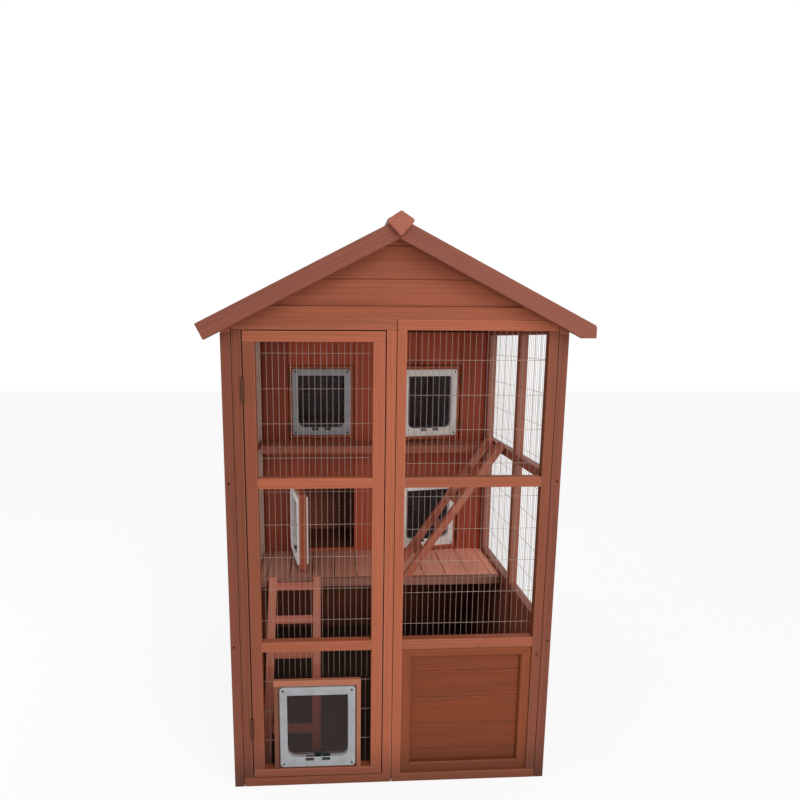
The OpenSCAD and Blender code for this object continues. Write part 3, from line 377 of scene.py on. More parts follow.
# Low boards of the front's right half. Tongue-and-groove boards stand behind a moulding of four
# mitred strips with a bevel on the inner edge. Rain has darkened both.
low_fir = stained_fir("low_boards", "#733516", "#562610", "#4A2210", 0.52)
board_pitch = 0.0884
first_seam = 0.0959
low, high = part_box("front_right_boards")
low_boards = Joinery()
low_boards.matchboard(facing(((low.x + high.x) / 2, low.y, 0), (1, 0, 0), (0, -1, 0)), high.x - low.x,
                      [low.z] + [first_seam + k * board_pitch for k in range(4)] + [high.z])
low_boards.finish("front_right_low_boards", low_fir, "wood_dark", "front_right_boards", 0.0006)

strip_fir = stained_fir("moulding", "#7B3D1D", "#5E2B14", "#9A5A36")
strip_width = 0.031
strip_thick = 0.012
strip_bevel = 0.004
low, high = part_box("front_right_moulding")
middle = (low + high) / 2
size = high - low
moulding = Joinery()
for along, inward, length, out in (
        ((1, 0, 0), (0, 0, 1), size.x, size.z / 2), ((-1, 0, 0), (0, 0, -1), size.x, size.z / 2),
        ((0, 0, -1), (1, 0, 0), size.z, size.x / 2), ((0, 0, 1), (-1, 0, 0), size.z, size.x / 2)):
    origin = Vector((middle.x, low.y, middle.z)) - Vector(inward) * out
    half = length / 2 - joint
    moulding.plank(
        [(0, -strip_thick), (strip_width, -strip_thick), (strip_width, -strip_bevel),
         (strip_width - strip_bevel, 0), (0, 0)],
        length, facing(origin, along, (0, -1, 0)), lambda y, z: (y - half, half - y))
moulding.finish("front_right_moulding_strips", strip_fir, "wood_front", "front_right_moulding", 0.0008)


# Side panels. Five uprights each, with rails between them; boards close the lower part and the
# bay beside the sleeping rooms. The timber is the same and the stain is a shade greyer and darker.
side_fir = stained_fir("side", "#96523C", "#6C3828", "#AC6E56")
post = 0.032
post_places = (-0.550, -0.200, 0.188, 0.220, 0.518)
side_rail = 0.032
cross_rails = ((0, side_rail), (0.468, side_rail), (window_rails[1][0], 0.030))
room_face = 0.220
boards_inset = 0.008
hands = ((-1, "left"), (1, "right"))


def boarded(bottom, top):
    """Edges of boards that fill a height."""
    return span(bottom, top, round((top - bottom) / board_pitch))


for hand, word in hands:
    low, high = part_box("side_frame_" + word)
    head = high.z - side_rail
    outside = low.x if hand < 0 else high.x
    # The front post is painted darker as shade.
    posts = Joinery({0: 0.6})
    for k, y in enumerate(post_places):
        y0 = y + (joint if k == 3 else 0)
        y1 = y + post - (joint if k == 2 else 0)
        posts.batten((low.x, y0, 0), (high.x, y1, head - joint), 2)
    for y0, y1 in ((low.y, room_face - joint), (room_face + joint, high.y)):
        posts.batten((low.x, y0, head), (high.x, y1, high.z), 1)
    sheets = Joinery()
    for k, rails, top in ((0, cross_rails, cross_rails[1][0]), (1, cross_rails, cross_rails[1][0]),
                          (3, cross_rails[:1], head)):
        y0, y1 = post_places[k] + post + joint, post_places[k + 1] - joint
        for z, deep in rails:
            posts.batten((low.x, y0, z), (high.x, y1, z + deep), 1)
        sheets.matchboard(
            facing((outside - hand * boards_inset, (y0 + y1) / 2, 0), (0, hand, 0), (hand, 0, 0)),
            y1 - y0, boarded(side_rail + joint, top - joint))
    posts.finish("side_panel_" + word, side_fir, "wood_side", "side_frame_" + word)
    sheets.finish("side_cladding_" + word, side_fir, "wood_side", "side_boards_" + word, 0.0006)


# Gables. A batten and three matched boards above each end panel, cut to the slope of the roof.
# The front one is stained a warm brown, and the rear one like the sides.
gable_fir = stained_fir("gable", "#924D33", "#6E3622", "#A8674A")
roof_slope = radians(26.8)
rise = tan(roof_slope)
slope_cos, slope_sin = cos(roof_slope), sin(roof_slope)
ridge_z = 1.647
roof_play = 0.0003
gable_rail_top = 1.444
gable_seams = [1.5165, 1.604]


def gable_half(z):
    """Half of the gable's width at a height."""
    return (ridge_z - roof_play / slope_cos - z) / rise


def end_face(y, out):
    """Place on the house's front or rear, with Z outwards and Y up."""
    return facing((0, y, 0), (-out, 0, 0), (0, out, 0))


for word, out, wood, slot in (("front", -1, gable_fir, "wood_front"), ("rear", 1, side_fir, "wood_side")):
    low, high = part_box(word + "_gable")
    face = low.y if out < 0 else high.y
    z0, z1 = low.z, gable_rail_top
    gable = Joinery()
    gable.sawn([(-gable_half(z0), z0), (gable_half(z0), z0), (gable_half(z1), z1), (-gable_half(z1), z1)],
               high.y - low.y, end_face(face, out))
    gable.matchboard(end_face(face - out * boards_inset, out), 2 * gable_half(z1),
                     [z1 + joint] + gable_seams + [high.z - 0.001],
                     ends=lambda y, z: (-gable_half(y), gable_half(y)))
    gable.finish("gable_" + word, wood, slot, word + "_gable", 0.0008)


# Rear panel. Two long rails, three uprights and two bays of matched boards, screwed together and
# stained like the sides; nothing opens here.
low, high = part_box("rear_frame")
rear_stiles = ((low.x, post), (-post / 2, post), (high.x - post, post))
rear = Joinery()
rear.panel(low, high, rear_stiles, side_rail, top_rail)
rear.finish("rear_panel", side_fir, "wood_side", "rear_frame")
rear_bays = Joinery()
for k in (0, 1):
    x0, x1 = rear_stiles[k][0] + post + joint, rear_stiles[k + 1][0] - joint
    rear_bays.matchboard(facing(((x0 + x1) / 2, high.y - boards_inset, 0), (-1, 0, 0), (0, 1, 0)),
                         x1 - x0, boarded(side_rail + joint, high.z - top_rail - joint))
rear_bays.finish("rear_cladding", side_fir, "wood_side", "rear_boards", 0.0006)


# Roof panels. Six boards a side, laid from end to end of the house, with their V joints below;
# the top board is cut plumb where the two panels meet under the ridge.
roof_fir = stained_fir("roof", "#A8644A", "#84482F", "#C08A6C")
roof_thick = 0.015
low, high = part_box("roof_panel_right")
panel_reach, sheet_end = high.x, high.y
plumb = roof_thick * rise
edges = span(0, high.x / slope_cos - plumb, 6)
top_end = edges[1] - joint
for hand, word in hands:
    place = facing((hand * joint / 2, 0, ridge_z), (0, hand, 0),
                   (-hand * slope_sin, 0, -slope_cos))
    covers = Joinery()
    covers.plank([(-plumb, -roof_thick), (top_end, -roof_thick), (top_end, -board_v),
                  (top_end - board_v, 0), (joint, 0)], high.y - low.y, place)
    covers.matchboard(place, high.y - low.y, edges[1:], roof_thick)
    covers.finish("roof_" + word, roof_fir, "wood_light", "roof_panel_" + word, 0.0006)


# Roofing felt. One sheet a side over the boards and a strip on the ridge cap, in green-grey mineral
# felt, 2 mm thick. It lies a little uneven, and its grit is bonded on in fine stone.
def mineral_felt(name, ground, grit):
    """Bitumen felt under crushed slate: matt and speckled, so it never shines."""
    grain = 0.0035  # slate grit is 1 mm, drawn coarser so that it shows
    material, add, place = blank(name)
    stones = add("TexVoronoi", {"Vector": place, "Scale": 1 / grain}, feature="F1")
    cloud = add("TexNoise", {"Vector": place, "Scale": 6.0, "Detail": 4.0})
    pick = add("SeparateColor", stones.outputs["Color"])
    mixed = add("Mix", {0: pick, 6: rgb(ground), 7: rgb(grit)}, data_type="RGBA")
    wash = add("MapRange", cloud, 0.3, 0.7, 0.84, 1.1)
    colour = add("VectorMath", {0: mixed.outputs[2], "Scale": wash}, operation="SCALE")
    bump = add("Bump", {"Height": stones, "Strength": 0.6, "Distance": 0.0008})
    surface = add("BsdfPrincipled", {
        "Base Color": colour, "Roughness": 0.92, "IOR": 1.45, "Normal": bump})
    add("OutputMaterial", surface)
    return material


felt = mineral_felt("mineral_roofing_felt", "#4E554F", "#7C8680")
felt_thick = 0.002
cap_thick = 0.010
cap_wing = 0.037
wave = 0.00025
felt_cell = 0.03
low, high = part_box("roof_felt")


def above_slope(hand, lift):
    """Place on a slope of the roof: Y runs down it and Z out of it, lift above the boards' underside."""
    return facing((0, 0, ridge_z + lift / slope_cos), (0, -hand, 0),
                  (hand * slope_sin, 0, slope_cos))


felts = bmesh.new()
for hand in (-1, 1):
    for lift, width, reach in (
            (roof_thick, panel_reach, sheet_end),
            (roof_thick + felt_thick + roof_play + cap_thick, cap_wing * slope_cos, high.y)):
        place = above_slope(hand, lift)
        run = (width - felt_thick * slope_sin) / slope_cos
        rows, columns = max(2, round(run / felt_cell)), round(2 * reach / felt_cell)
        grid = []
        for i in range(rows + 1):
            for j in range(columns + 1):
                x, y = reach * (2 * j / columns - 1), run * i / rows
                lie = wave * (sin(23 * x + 9 * y) * sin(17 * y - 5 * x) - 1)
                grid.append(felts.verts.new(place @ Vector((x, y, felt_thick + lie))))
        for i in range(rows):
            for j in range(columns):
                k = i * (columns + 1) + j
                felts.faces.new((grid[k], grid[k + 1], grid[k + columns + 2], grid[k + columns + 1]))
bmesh.ops.recalc_face_normals(felts, faces=felts.faces)
for face in felts.faces:
    if face.normal.z < 0:
        face.normal_flip()
bmesh.ops.solidify(felts, geom=felts.faces, thickness=felt_thick - 3 * wave)
bmesh.ops.recalc_face_normals(felts, faces=felts.faces)
finish("felt_sheets", as_mesh(felts, "felt"), felt, "roof_felt")


# Rake boards. They cover the roof's ends and stand 45 mm clear of the front. The left end is sawn
# square to its slope; the right one is plumb, with a level seat and a rounded upper corner.
rake_fir = stained_fir("rake", "#854A3A", "#603227", "#9C6654", 0.46)
rake_width = 0.0465
rake_thick = 0.018
plumb_height = 0.033
corner = 0.012
low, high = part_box("rake_boards")
roof_half = high.x


def felt_top(x):
    """Height of the felt at a distance from the ridge."""
    return ridge_z - rise * abs(x) + (roof_thick + felt_thick) / slope_cos


tip = felt_top(roof_half)
ridge_foot = felt_top(0) - rake_width / slope_cos
seat = (ridge_foot - (tip - plumb_height)) / rise
swing = pi / 2 - roof_slope
drop = corner * tan(swing / 2)
plumb_end = [(joint / 2, ridge_foot), (seat, tip - plumb_height), (roof_half, tip - plumb_height)]
plumb_end += [(roof_half - corner + corner * cos(at), tip - drop + corner * sin(at))
              for at in span(0, swing, 5)]
plumb_end += [(joint / 2, felt_top(0))]
square_end = [(-joint / 2, felt_top(0)), (-roof_half, tip),
              (-roof_half + rake_width * slope_sin, tip - rake_width * slope_cos),
              (-joint / 2, ridge_foot)]
rakes = Joinery()
for out, face in ((-1, low.y), (1, high.y)):
    for outline, fall in ((plumb_end, -1), (square_end, 1)):
        grain = Vector((slope_cos, 0, fall * slope_sin))
        place = facing((0, face, ridge_z), grain * -out, (0, out, 0))
        back = place.inverted()
        rakes.sawn([(back @ Vector((x, face, z))).to_2d() for x, z in outline], rake_thick, place)
rakes.finish("rake_board_set", rake_fir, "wood_front", "rake_boards", 0.0018)


# Ridge cap. Two strips meet over the ridge and hold the felt down; a diamond-shaped block with
# rounded corners hides their ends at the front and at the back.
low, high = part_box("ridge_cap")
wing = (high.x - cap_thick * slope_sin) / slope_cos
cap = Joinery()
for hand in (-1, 1):
    cap.plank([(joint, 0), (wing, 0), (wing, cap_thick), (joint - cap_thick * rise, cap_thick)],
              high.y - low.y, above_slope(hand, roof_thick + felt_thick + roof_play))
cap.finish("ridge_cap_strips", rake_fir, "wood_front", "ridge_cap", 0.001)

block_fir = stained_fir("block", "#A6614E", "#7C4434", "#BC7E68", 0.46)
block_thick = 0.018
block_round = 0.006
block_fall = 0.024
low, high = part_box("ridge_blocks")
centres = [(high.x - block_round, high.z - block_fall), (0, high.z - block_round),
           (low.x + block_round, high.z - block_fall), (0, low.z + block_round)]
outline = []
for i, (x, z) in enumerate(centres):
    before, after = centres[i - 1], centres[(i + 1) % 4]
    first = atan2(z - before[1], x - before[0]) - pi / 2
    last = atan2(after[1] - z, after[0] - x) - pi / 2
    outline += [(x + block_round * cos(at), z + block_round * sin(at))
                for at in span(first, first + (last - first) % (2 * pi), 6)]
blocks = Joinery()
for out, face in ((-1, low.y), (1, high.y)):
    blocks.sawn([(x * -out, z) for x, z in outline], block_thick, end_face(face, out))
blocks.finish("ridge_end_blocks", block_fir, "wood_light", "ridge_blocks", 0.0016)


# Room wall. Upright matched boards on posts close the run at the back; four doorways lead to the
# sleeping rooms. It is stained like the rest and lies in the shade of the roof.
room_fir = stained_fir("room_wall", "#A2482E", "#762E1C", "#B05E44")
low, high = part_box("room_wall")
high.z += 0.012  # the boards run up behind the roof's edge, as the photograph shows
door_half = 0.131
door_middle = 0.215
doorways = ((0.496, 0.792), (0.959, 1.255))
wall_post = 0.028
near, far = door_middle - door_half, door_middle + door_half
# Boards left of the middle are painted darker as shade.
wall = Joinery({4: 0.72, 5: 0.82, 11: 0.8, 12: 0.8, 13: 0.8})
bays = [(x0, x1, count, low.z, high.z)
        for x0, x1, count in ((-high.x, -far, 1), (-near, near, 2), (far, high.x, 1))]
for hand in (-1, 1):
    x0, x1 = sorted((hand * (near + joint), hand * (far - joint)))
    for z0, z1 in ((low.z, doorways[0][0]), (doorways[0][1], doorways[1][0]), (doorways[1][1], high.z)):
        bays.append((x0, x1, 3, z0, z1))
    for x in (near - wall_post, far):
        x0, x1 = sorted((hand * x, hand * (x + wall_post)))
        wall.batten((x0, low.y + boards_thick + joint, low.z), (x1, high.y, high.z), 2)
for x0, x1, count, z0, z1 in bays:
    wall.matchboard(facing((0, low.y, (z0 + z1) / 2), (0, 0, 1), (0, -1, 0)), z1 - z0,
                    span(-x1, -x0, count))
wall.finish("room_wall_boards", room_fir, "wood_dark", "room_wall", 0.0006)


# Sleeping rooms. Boarded floors, a boarded ceiling and a wall between left and right on each floor,
# of planed fir in a dark stain. Only the doorways let them show.
inner_fir = stained_fir("rooms", "#6A3526", "#4E241A", "#7E4838", 0.52)
floors = (0.487, 0.950)
floor_thick = 0.018
parting = 0.012
room_v = 0.001
low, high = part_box("room_boxes")
depth_edges = span(0, high.y - low.y, 3)
rooms = Joinery()
for origin, up, thick in (((0, low.y, floors[0]), 1, floor_thick), ((0, low.y, floors[1]), 1, floor_thick),
                          ((0, high.y, high.z - parting), -1, parting)):
    rooms.matchboard(facing(origin, (1, 0, 0), (0, 0, up)), high.x - low.x, depth_edges, thick, room_v)
for z0, z1 in ((floors[0], floors[1] - floor_thick), (floors[1], high.z - parting)):
    rooms.batten((-parting / 2, low.y, z0 + joint), (parting / 2, high.y, z1 - joint), 1)
rooms.finish("sleeping_rooms", inner_fir, "wood_dark", "room_boxes", 0.0006)


# Platform. Ten short boards with open joints lie from a thick front batten to the room wall, on
# bearers; strips close the ends. The stain is written lighter here as painted light.
step_fir_painted_light = stained_fir("steps", "#DA957D", "#B46C56", "#E6B49E")
low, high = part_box("platform")
bearer = 0.028
deck_thick = 0.012
deck_pitch = 0.084
deck_gap = 0.0035
deck_boards = 10
edge_x = deck_boards * deck_pitch / 2
z0 = high.z - deck_thick
y0 = low.y + bearer + joint
# The front batten and the left strip are painted darker as shade, the right strip lighter as painted light.
deck = Joinery({0: 0.42, 4: 0.5, 5: 1.5})
deck.batten((low.x, low.y, high.z - bearer), (high.x, low.y + bearer, high.z), 0)
deck.batten((low.x, high.y - bearer, z0 - bearer), (high.x, high.y, z0 - joint), 0)
for x in (low.x, high.x - bearer):
    deck.batten((x, y0, z0 - bearer), (x + bearer, high.y - bearer - joint, z0 - joint), 1)
for x0, x1 in ((low.x, -edge_x - deck_gap / 2), (edge_x + deck_gap / 2, high.x)):
    deck.batten((x0, y0, z0), (x1, high.y, high.z), 1)
for k in range(deck_boards):
    x = k * deck_pitch - edge_x
    along = k / (deck_boards - 1)
    # The boards run from painted shade on the left to painted light on the right.
    deck.painted_light_and_shade[len(deck.boards)] = 0.5 + 0.95 * along * along * (3 - 2 * along)
    deck.batten((x + deck_gap / 2, y0, z0), (x + deck_pitch - deck_gap / 2, high.y, high.z), 1)
deck.finish("platform_deck", step_fir_painted_light, "wood_step", "platform")


# Upper shelf. Two long boards behind a front batten, on a bearer that is screwed to the room wall
# under the upper doors. It lies in the shade of the roof, so its stain shows darker.
shelf_fir = stained_fir("shelf", "#A05A44", "#743C2C", "#B8765E")
low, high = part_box("upper_shelf")
shelf_batten = 0.030
wall_bearer = 0.0168
z0 = high.z - deck_thick
y0 = low.y + bearer + joint
middle_y = (y0 + high.y) / 2
# The front batten is painted a little darker as shade.
shelf = Joinery({0: 0.9})
shelf.batten((low.x, low.y, high.z - shelf_batten), (high.x, low.y + bearer, high.z), 0)
shelf.batten((low.x, y0, z0), (high.x, middle_y - joint / 2, high.z), 0)
shelf.batten((low.x, middle_y + joint / 2, z0), (high.x, high.y, high.z), 0)
shelf.batten((low.x, high.y - bearer, z0 - wall_bearer), (high.x, high.y, z0 - joint), 0)
shelf.finish("upper_shelf_boards", shelf_fir, "wood_step", "upper_shelf")


# Ladders. Two alike: a pair of rails with five flat rungs let in between them. One leans on the
# platform's front edge, the other stands on the platform and leans on the right side panel.
ladder_fir = stained_fir("ladders", "#AE5F48", "#7E4030", "#C4846A", 0.48)
reach = 0.3337
broken = 0.0015
deck_top = floors[0]
steep = atan((deck_top - broken) / reach)
rail_over = 0.0108  # how far the rails stand above the deck
rail_length = (deck_top + rail_over) / sin(steep)
rail_half = 0.012
rail_width = 0.028
first_rung = 0.103
last_rung = 0.033
rung_half = 0.014
rung_thick = 0.015
rung_low = 0.005
rail_foot = rail_half / sin(steep)
for word in ("lower", "upper"):
    low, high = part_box("ladder_" + word)
    if word == "lower":
        width = high.x - low.x
        stand = Matrix.Translation(((low.x + high.x) / 2, low.y + rail_foot, 0))
        stand @= Matrix.Rotation(pi / 2, 4, "Z")
    else:
        width = high.y - low.y
        stand = Matrix.Translation((low.x + rail_foot, (low.y + high.y) / 2, deck_top))
    slope = stand @ facing((0, 0, 0), (cos(steep), 0, sin(steep)),
                           (-sin(steep), 0, cos(steep)))
    ladder = Joinery()
    for y0 in (-width / 2, width / 2 - rail_width):
        y1 = y0 + rail_width
        ladder.plank([(y0, -rail_half), (y1, -rail_half), (y1, rail_half), (y0, rail_half)],
                     rail_length, slope, lambda y, z: (-z / tan(steep), rail_length))
    inner = width / 2 - rail_width - joint
    for x in span(first_rung, rail_length - last_rung, 4):
        ladder.batten((x - rung_half, -inner, -rung_low), (x + rung_half, inner, rung_thick - rung_low),
                      1, slope)
    ladder.finish("ladder_" + word + "_timber", ladder_fir, "wood_step", "ladder_" + word)


# Main door. It fills the left half of the front: two uprights, top and bottom batten and two rails
# at the heights of the fixed half's, so the house's lines run on across it.
door_stile = 0.033
door_bottom = 0.025
door_low, door_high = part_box("main_door_frame")
# The hinge stile and the lower rail are painted darker as shade.
door = Joinery({2: 0.62, 4: 0.88})
door.panel(door_low, door_high, ((door_low.x, door_stile), (door_high.x - door_stile, door_stile)),
           door_low.z + door_bottom, top_rail, window_rails)
door.finish("main_door_battens", front_fir, "wood_front", "main_door_frame", body="main_door")


# Board for the cat flap in the main door, held by three battens that stand on the door's bottom one.
# The opening is cut to the flap's sleeve with a hair of play.
def with_hole(work, outer, hole, thick, place):
    """Adds a flat board with a square-cornered hole; both are given as x0, y0, x1, y1 in its face."""
    front, front_hole, back, back_hole = [
        work.ring(((x0, y0, z), (x1, y0, z), (x1, y1, z), (x0, y1, z)), place)
        for (x0, y0, x1, y1), z in ((outer, 0), (hole, 0), (outer, -thick), (hole, -thick))]
    for i in range(4):
        j = (i + 1) % 4
        for a, b in ((front, front_hole), (back, back_hole), (front, back), (front_hole, back_hole)):
            work.mesh.faces.new((a[i], a[j], b[j], b[i]))
    x0, y0, x1, y1 = outer
    work.boards.append((place @ Matrix.Translation(((x0 + x1) / 2, (y0 + y1) / 2, -thick / 2)),
                        Vector(((x1 - x0) / 2, (y1 - y0) / 2, thick / 2))))


holder_fir = stained_fir("flap_holder", "#9C6048", "#704230", "#B8846A")
flap_width = 0.230
flap_height = 0.266
way_half = 0.092
way_low = 0.033
way_high = 0.239
sleeve = 0.006
hole_play = 0.0004
hole_half = way_half + sleeve + hole_play
low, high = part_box("flap_surround")
holder_high = high.z
side_batten = 0.0125
top_batten = 0.018
batten_deep = 0.014
holder_half = 0.131
board_back = 0.010
flap_board = 0.012
main_flap_low = 0.0595
flap_middle = (low.x + high.x) / 2
z1 = high.z - top_batten
x0, x1 = flap_middle - holder_half, flap_middle + holder_half
# The left batten is painted darker as shade.
holder = Joinery({0: 0.5})
for x in (x0, x1 - side_batten):
    holder.batten((x, low.y, low.z), (x + side_batten, high.y, z1 - joint), 2)
holder.batten((x0, low.y, z1), (x1, low.y + batten_deep, high.z), 0)
with_hole(holder, (x0 + side_batten + joint, low.z, x1 - side_batten - joint, z1 - joint),
          (flap_middle - hole_half, main_flap_low + way_low - sleeve - hole_play,
           flap_middle + hole_half, main_flap_low + way_high + sleeve + hole_play),
          flap_board, facing((0, low.y + board_back, 0), (1, 0, 0), (0, -1, 0)))
holder.finish("flap_holder", holder_fir, "wood_front", "flap_surround", 0.001, "main_door")


# Wire mesh. Welded galvanised wire: uprights 16.8 mm apart with level wires welded behind them
# 98.5 mm apart. It is stapled to the inside of the battens, so it laps over their edges.
def galvanised_wire(name, zinc, dull):
    """Hot-dipped steel wire: a warm pale grey, softly shiny, with darker and lighter patches of zinc."""
    material, add, place = blank(name)
    patches = add("TexNoise", {"Vector": place, "Scale": 90.0, "Detail": 3.0})
    colour = add("Mix", {0: patches, 6: rgb(zinc), 7: rgb(dull)}, data_type="RGBA").outputs[2]
    gloss = add("MapRange", patches, 0, 1, 0.34, 0.52)
    surface = add("BsdfPrincipled", {"Base Color": colour, "Metallic": 0.75, "Roughness": gloss})
    add("OutputMaterial", surface)
    return material


wire_metal = galvanised_wire("galvanised_wire", "#B8A296", "#8F7C70")
wire = 0.0012
wire_pitch = 0.0168
wire_row = 0.0985
first_row = {"left": 0.1362, "right": 0.0195}  # height of one level wire in each half
lap = 0.006  # how far the mesh laps over a batten
pressed = 0.0008  # the staples press the wires this far into the wood


def node_group(name, wanted):
    """A tree with named inputs, their identifiers, what adds a node to it and what they give in it."""
    tree = bpy.data.node_groups.new(name, "GeometryNodeTree")
    socket = tree.interface.new_socket
    keys = {word: socket(name=word, in_out="INPUT", socket_type="NodeSocket" + kind).identifier
            for word, kind in wanted.items()}
    socket(name="Geometry", in_out="OUTPUT", socket_type="NodeSocketGeometry")
    add = partial(add_node, tree)
    return tree, keys, add, add("NodeGroupInput").outputs


def group_end(add, made, material):
    """Ends a tree: instances made real, painted and handed out."""
    real = add("GeometryNodeRealizeInstances", made)
    add("NodeGroupOutput", add("GeometryNodeSetMaterial", {"Geometry": real, "Material": material}))


def evaluated(tree, keys, values, base):
    """The plain mesh that a node tree makes from a base mesh with the given inputs."""
    obj = placed("work", base)
    modifier = obj.modifiers.new("nodes", "NODES")
    modifier.node_group = tree
    for word, value in values.items():
        modifier[keys[word]] = value
    bpy.context.view_layer.update()
    made = bpy.data.meshes.new_from_object(obj.evaluated_get(bpy.context.evaluated_depsgraph_get()))
    obj.modifiers.remove(modifier)
    bpy.data.objects.remove(obj)
    return made


def rounded(mesh, angle):
    """Smooth shading, broken where faces meet at more than this angle."""
    for face in mesh.polygons:
        face.use_smooth = True
    mesh.set_sharp_from_angle(angle=angle)


mesh_tree, mesh_keys, add, given = node_group("welded_mesh", {
    "Width": "Float", "Height": "Float", "Wire": "Float", "Uprights": "Int", "Upright step": "Float",
    "Levels": "Int", "Level step": "Float", "First level": "Float", "Material": "Material"})
thin = add("Math", given["Wire"], 2.0, operation="DIVIDE")
wires = []
for length, count, step, turned_by in (("Height", "Uprights", "Upright step", 0),
                                       ("Width", "Levels", "Level step", pi / 2)):
    middle = add("Math", given[length], 2.0, operation="DIVIDE")
    start = ((middle, given["Wire"], given["First level"]) if turned_by else (0, 0, middle))
    offset = ((0, 0, given[step]) if turned_by else (given[step],))
    line = add("GeometryNodeMeshLine", {
        "Count": given[count], "Start Location": add("CombineXYZ", *start),
        "Offset": add("CombineXYZ", *offset)})
    rod = add("GeometryNodeMeshCylinder", {"Vertices": 8, "Radius": thin, "Depth": given[length]})
    wires.append(add("GeometryNodeInstanceOnPoints", {
        "Points": line, "Instance": rod, "Rotation": (0, turned_by, 0)}))
joined = add("GeometryNodeJoinGeometry")
for rods in wires:
    mesh_tree.links.new(rods.outputs[0], joined.inputs[0])
group_end(add, joined, given["Material"])


def netting(name, windows, node, hand, body="root"):
    """Welded mesh over windows; each has the place of its lower left corner, and its sizes."""
    whole = bmesh.new()
    for corner, along, width, height in windows:
        length, tall = width - wire, height - wire
        uprights = max(1, round(length / wire_pitch))
        first = (first_row[hand] - corner[2] - wire) % wire_row
        made = evaluated(mesh_tree, mesh_keys, {
            "Width": length, "Height": tall, "Wire": wire, "Uprights": uprights + 1,
            "Upright step": length / uprights, "Levels": max(1, ceil((tall - first) / wire_row)),
            "Level step": wire_row, "First level": first, "Material": wire_metal},
            bpy.data.meshes.new("empty"))
        made.transform(facing(corner, along, (0, 0, 1)) @ Matrix.Translation([wire / 2] * 3))
        whole.from_mesh(made)
    made = as_mesh(whole, name)
    rounded(made, 1.0)
    finish(name, made, wire_metal, node, body)


def front_window(x0, x1, z0, z1):
    """A window of the front, as netting wants it."""
    return (x0, front_back - pressed, z0), (1, 0, 0), x1 - x0, z1 - z0


rail_low, rail_high = window_rails
for node, name, hand, body in (("front_right_mesh", "front_right_netting", "right", "root"),
                               ("main_door_mesh", "main_door_netting", "left", "main_door")):
    low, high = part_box(node)
    lower = front_window(low.x, high.x, rail_low[1] - lap, rail_high[0] + lap)
    upper = front_window(low.x, high.x, rail_high[1] - lap, high.z)
    windows = [lower, upper]
    if hand == "left":
        above = holder_high - lap
        windows = [upper, lower, front_window(low.x, high.x, above, rail_low[0] + lap),
                   front_window(low.x, flap_middle - holder_half + lap, low.z, above - wire),
                   front_window(flap_middle + holder_half - lap, high.x, low.z, above - wire)]
    netting(name, windows, node, hand, body)

for hand, word in hands:
    low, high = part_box("side_mesh_" + word)
    outer = (low.x if hand < 0 else high.x) + hand * pressed
    netting("side_netting_" + word, [
        ((outer, y1 if hand < 0 else y0, z0), (0, hand, 0), y1 - y0, z1 - z0)
        for y0, y1 in ((low.y, post_places[1] + lap), (post_places[1] + post - lap, high.y))
        for z0, z1 in ((low.z, rail_high[0] + lap), (rail_high[1] - lap, high.z))],
        "side_mesh_" + word, word)


# Hinges of the main door and of the room doors. Butt hinges of bronzed steel: a leaf on each side
# of the gap, three knuckles and a pin. Three countersunk screws hold each leaf.
def bronzed_steel(name, brown, rubbed):
    """Steel with a baked bronze finish: dark and half matt, and rubbed brighter here and there."""
    material, add, place = blank(name)
    rub = add("TexNoise", {"Vector": place, "Scale": 260.0, "Detail": 4.0})
    share = add("MapRange", rub, 0.52, 0.72)
    colour = add("Mix", {0: share, 6: rgb(brown), 7: rgb(rubbed)}, data_type="RGBA").outputs[2]
    gloss = add("MapRange", rub, 0, 1, 0.55, 0.34)
    bump = add("Bump", {"Height": rub, "Strength": 0.2, "Distance": 0.0002})
    surface = add("BsdfPrincipled", {
        "Base Color": colour, "Metallic": 1.0, "Roughness": gloss, "Normal": bump})
    add("OutputMaterial", surface)
    return material


hinge_steel = bronzed_steel("bronzed_steel", "#5C3E30", "#8C6A56")
knuckle = 0.004  # a radius, like the pin's and the bore's
pin = 0.0016
bore = 0.0018
half_gap = 0.0015
leaf_thick = 0.0012
leaf_depth = 0.018
pin_out = 0.0042  # the pin's middle stands this far out of the wood
between = 0.0003  # play between knuckles


def swept(work, rings, around=True):
    """Faces between rings of equally many points; around closes the last ring to the first."""
    rows = [[work.verts.new(point) for point in ring] for ring in rings]
    count = len(rows[0])
    for k in range(len(rows) - (0 if around else 1)):
        low_row, high_row = rows[k], rows[(k + 1) % len(rows)]
        for i in range(count):
            j = (i + 1) % count
            work.faces.new((low_row[i], low_row[j], high_row[j], high_row[i]))
    if not around:
        work.faces.new(rows[0][::-1])
        work.faces.new(rows[-1])


def turned(work, profile, place, sides=20, around=True):
    """A round form about the place's Z from a profile of radius and height."""
    angles = [2 * pi * i / sides for i in range(sides)]
    swept(work, [[place @ Vector((r * cos(at), r * sin(at), z)) for at in angles]
                 for r, z in profile], around)


def cut_block(work, low, high, place, edge=0.00015):
    """A plate or block between two corners with its edges broken."""
    low, high = Vector(low), Vector(high)
    made = bmesh.ops.create_cube(work, size=1.0, matrix=place @ Matrix.Translation((low + high) / 2)
                                 @ Matrix.Diagonal((*(high - low), 1)))
    if edge:
        edges = list(dict.fromkeys(e for v in made["verts"] for e in v.link_edges))
        bmesh.ops.bevel(work, geom=edges, offset=edge, segments=1, profile=0.5, affect="EDGES")


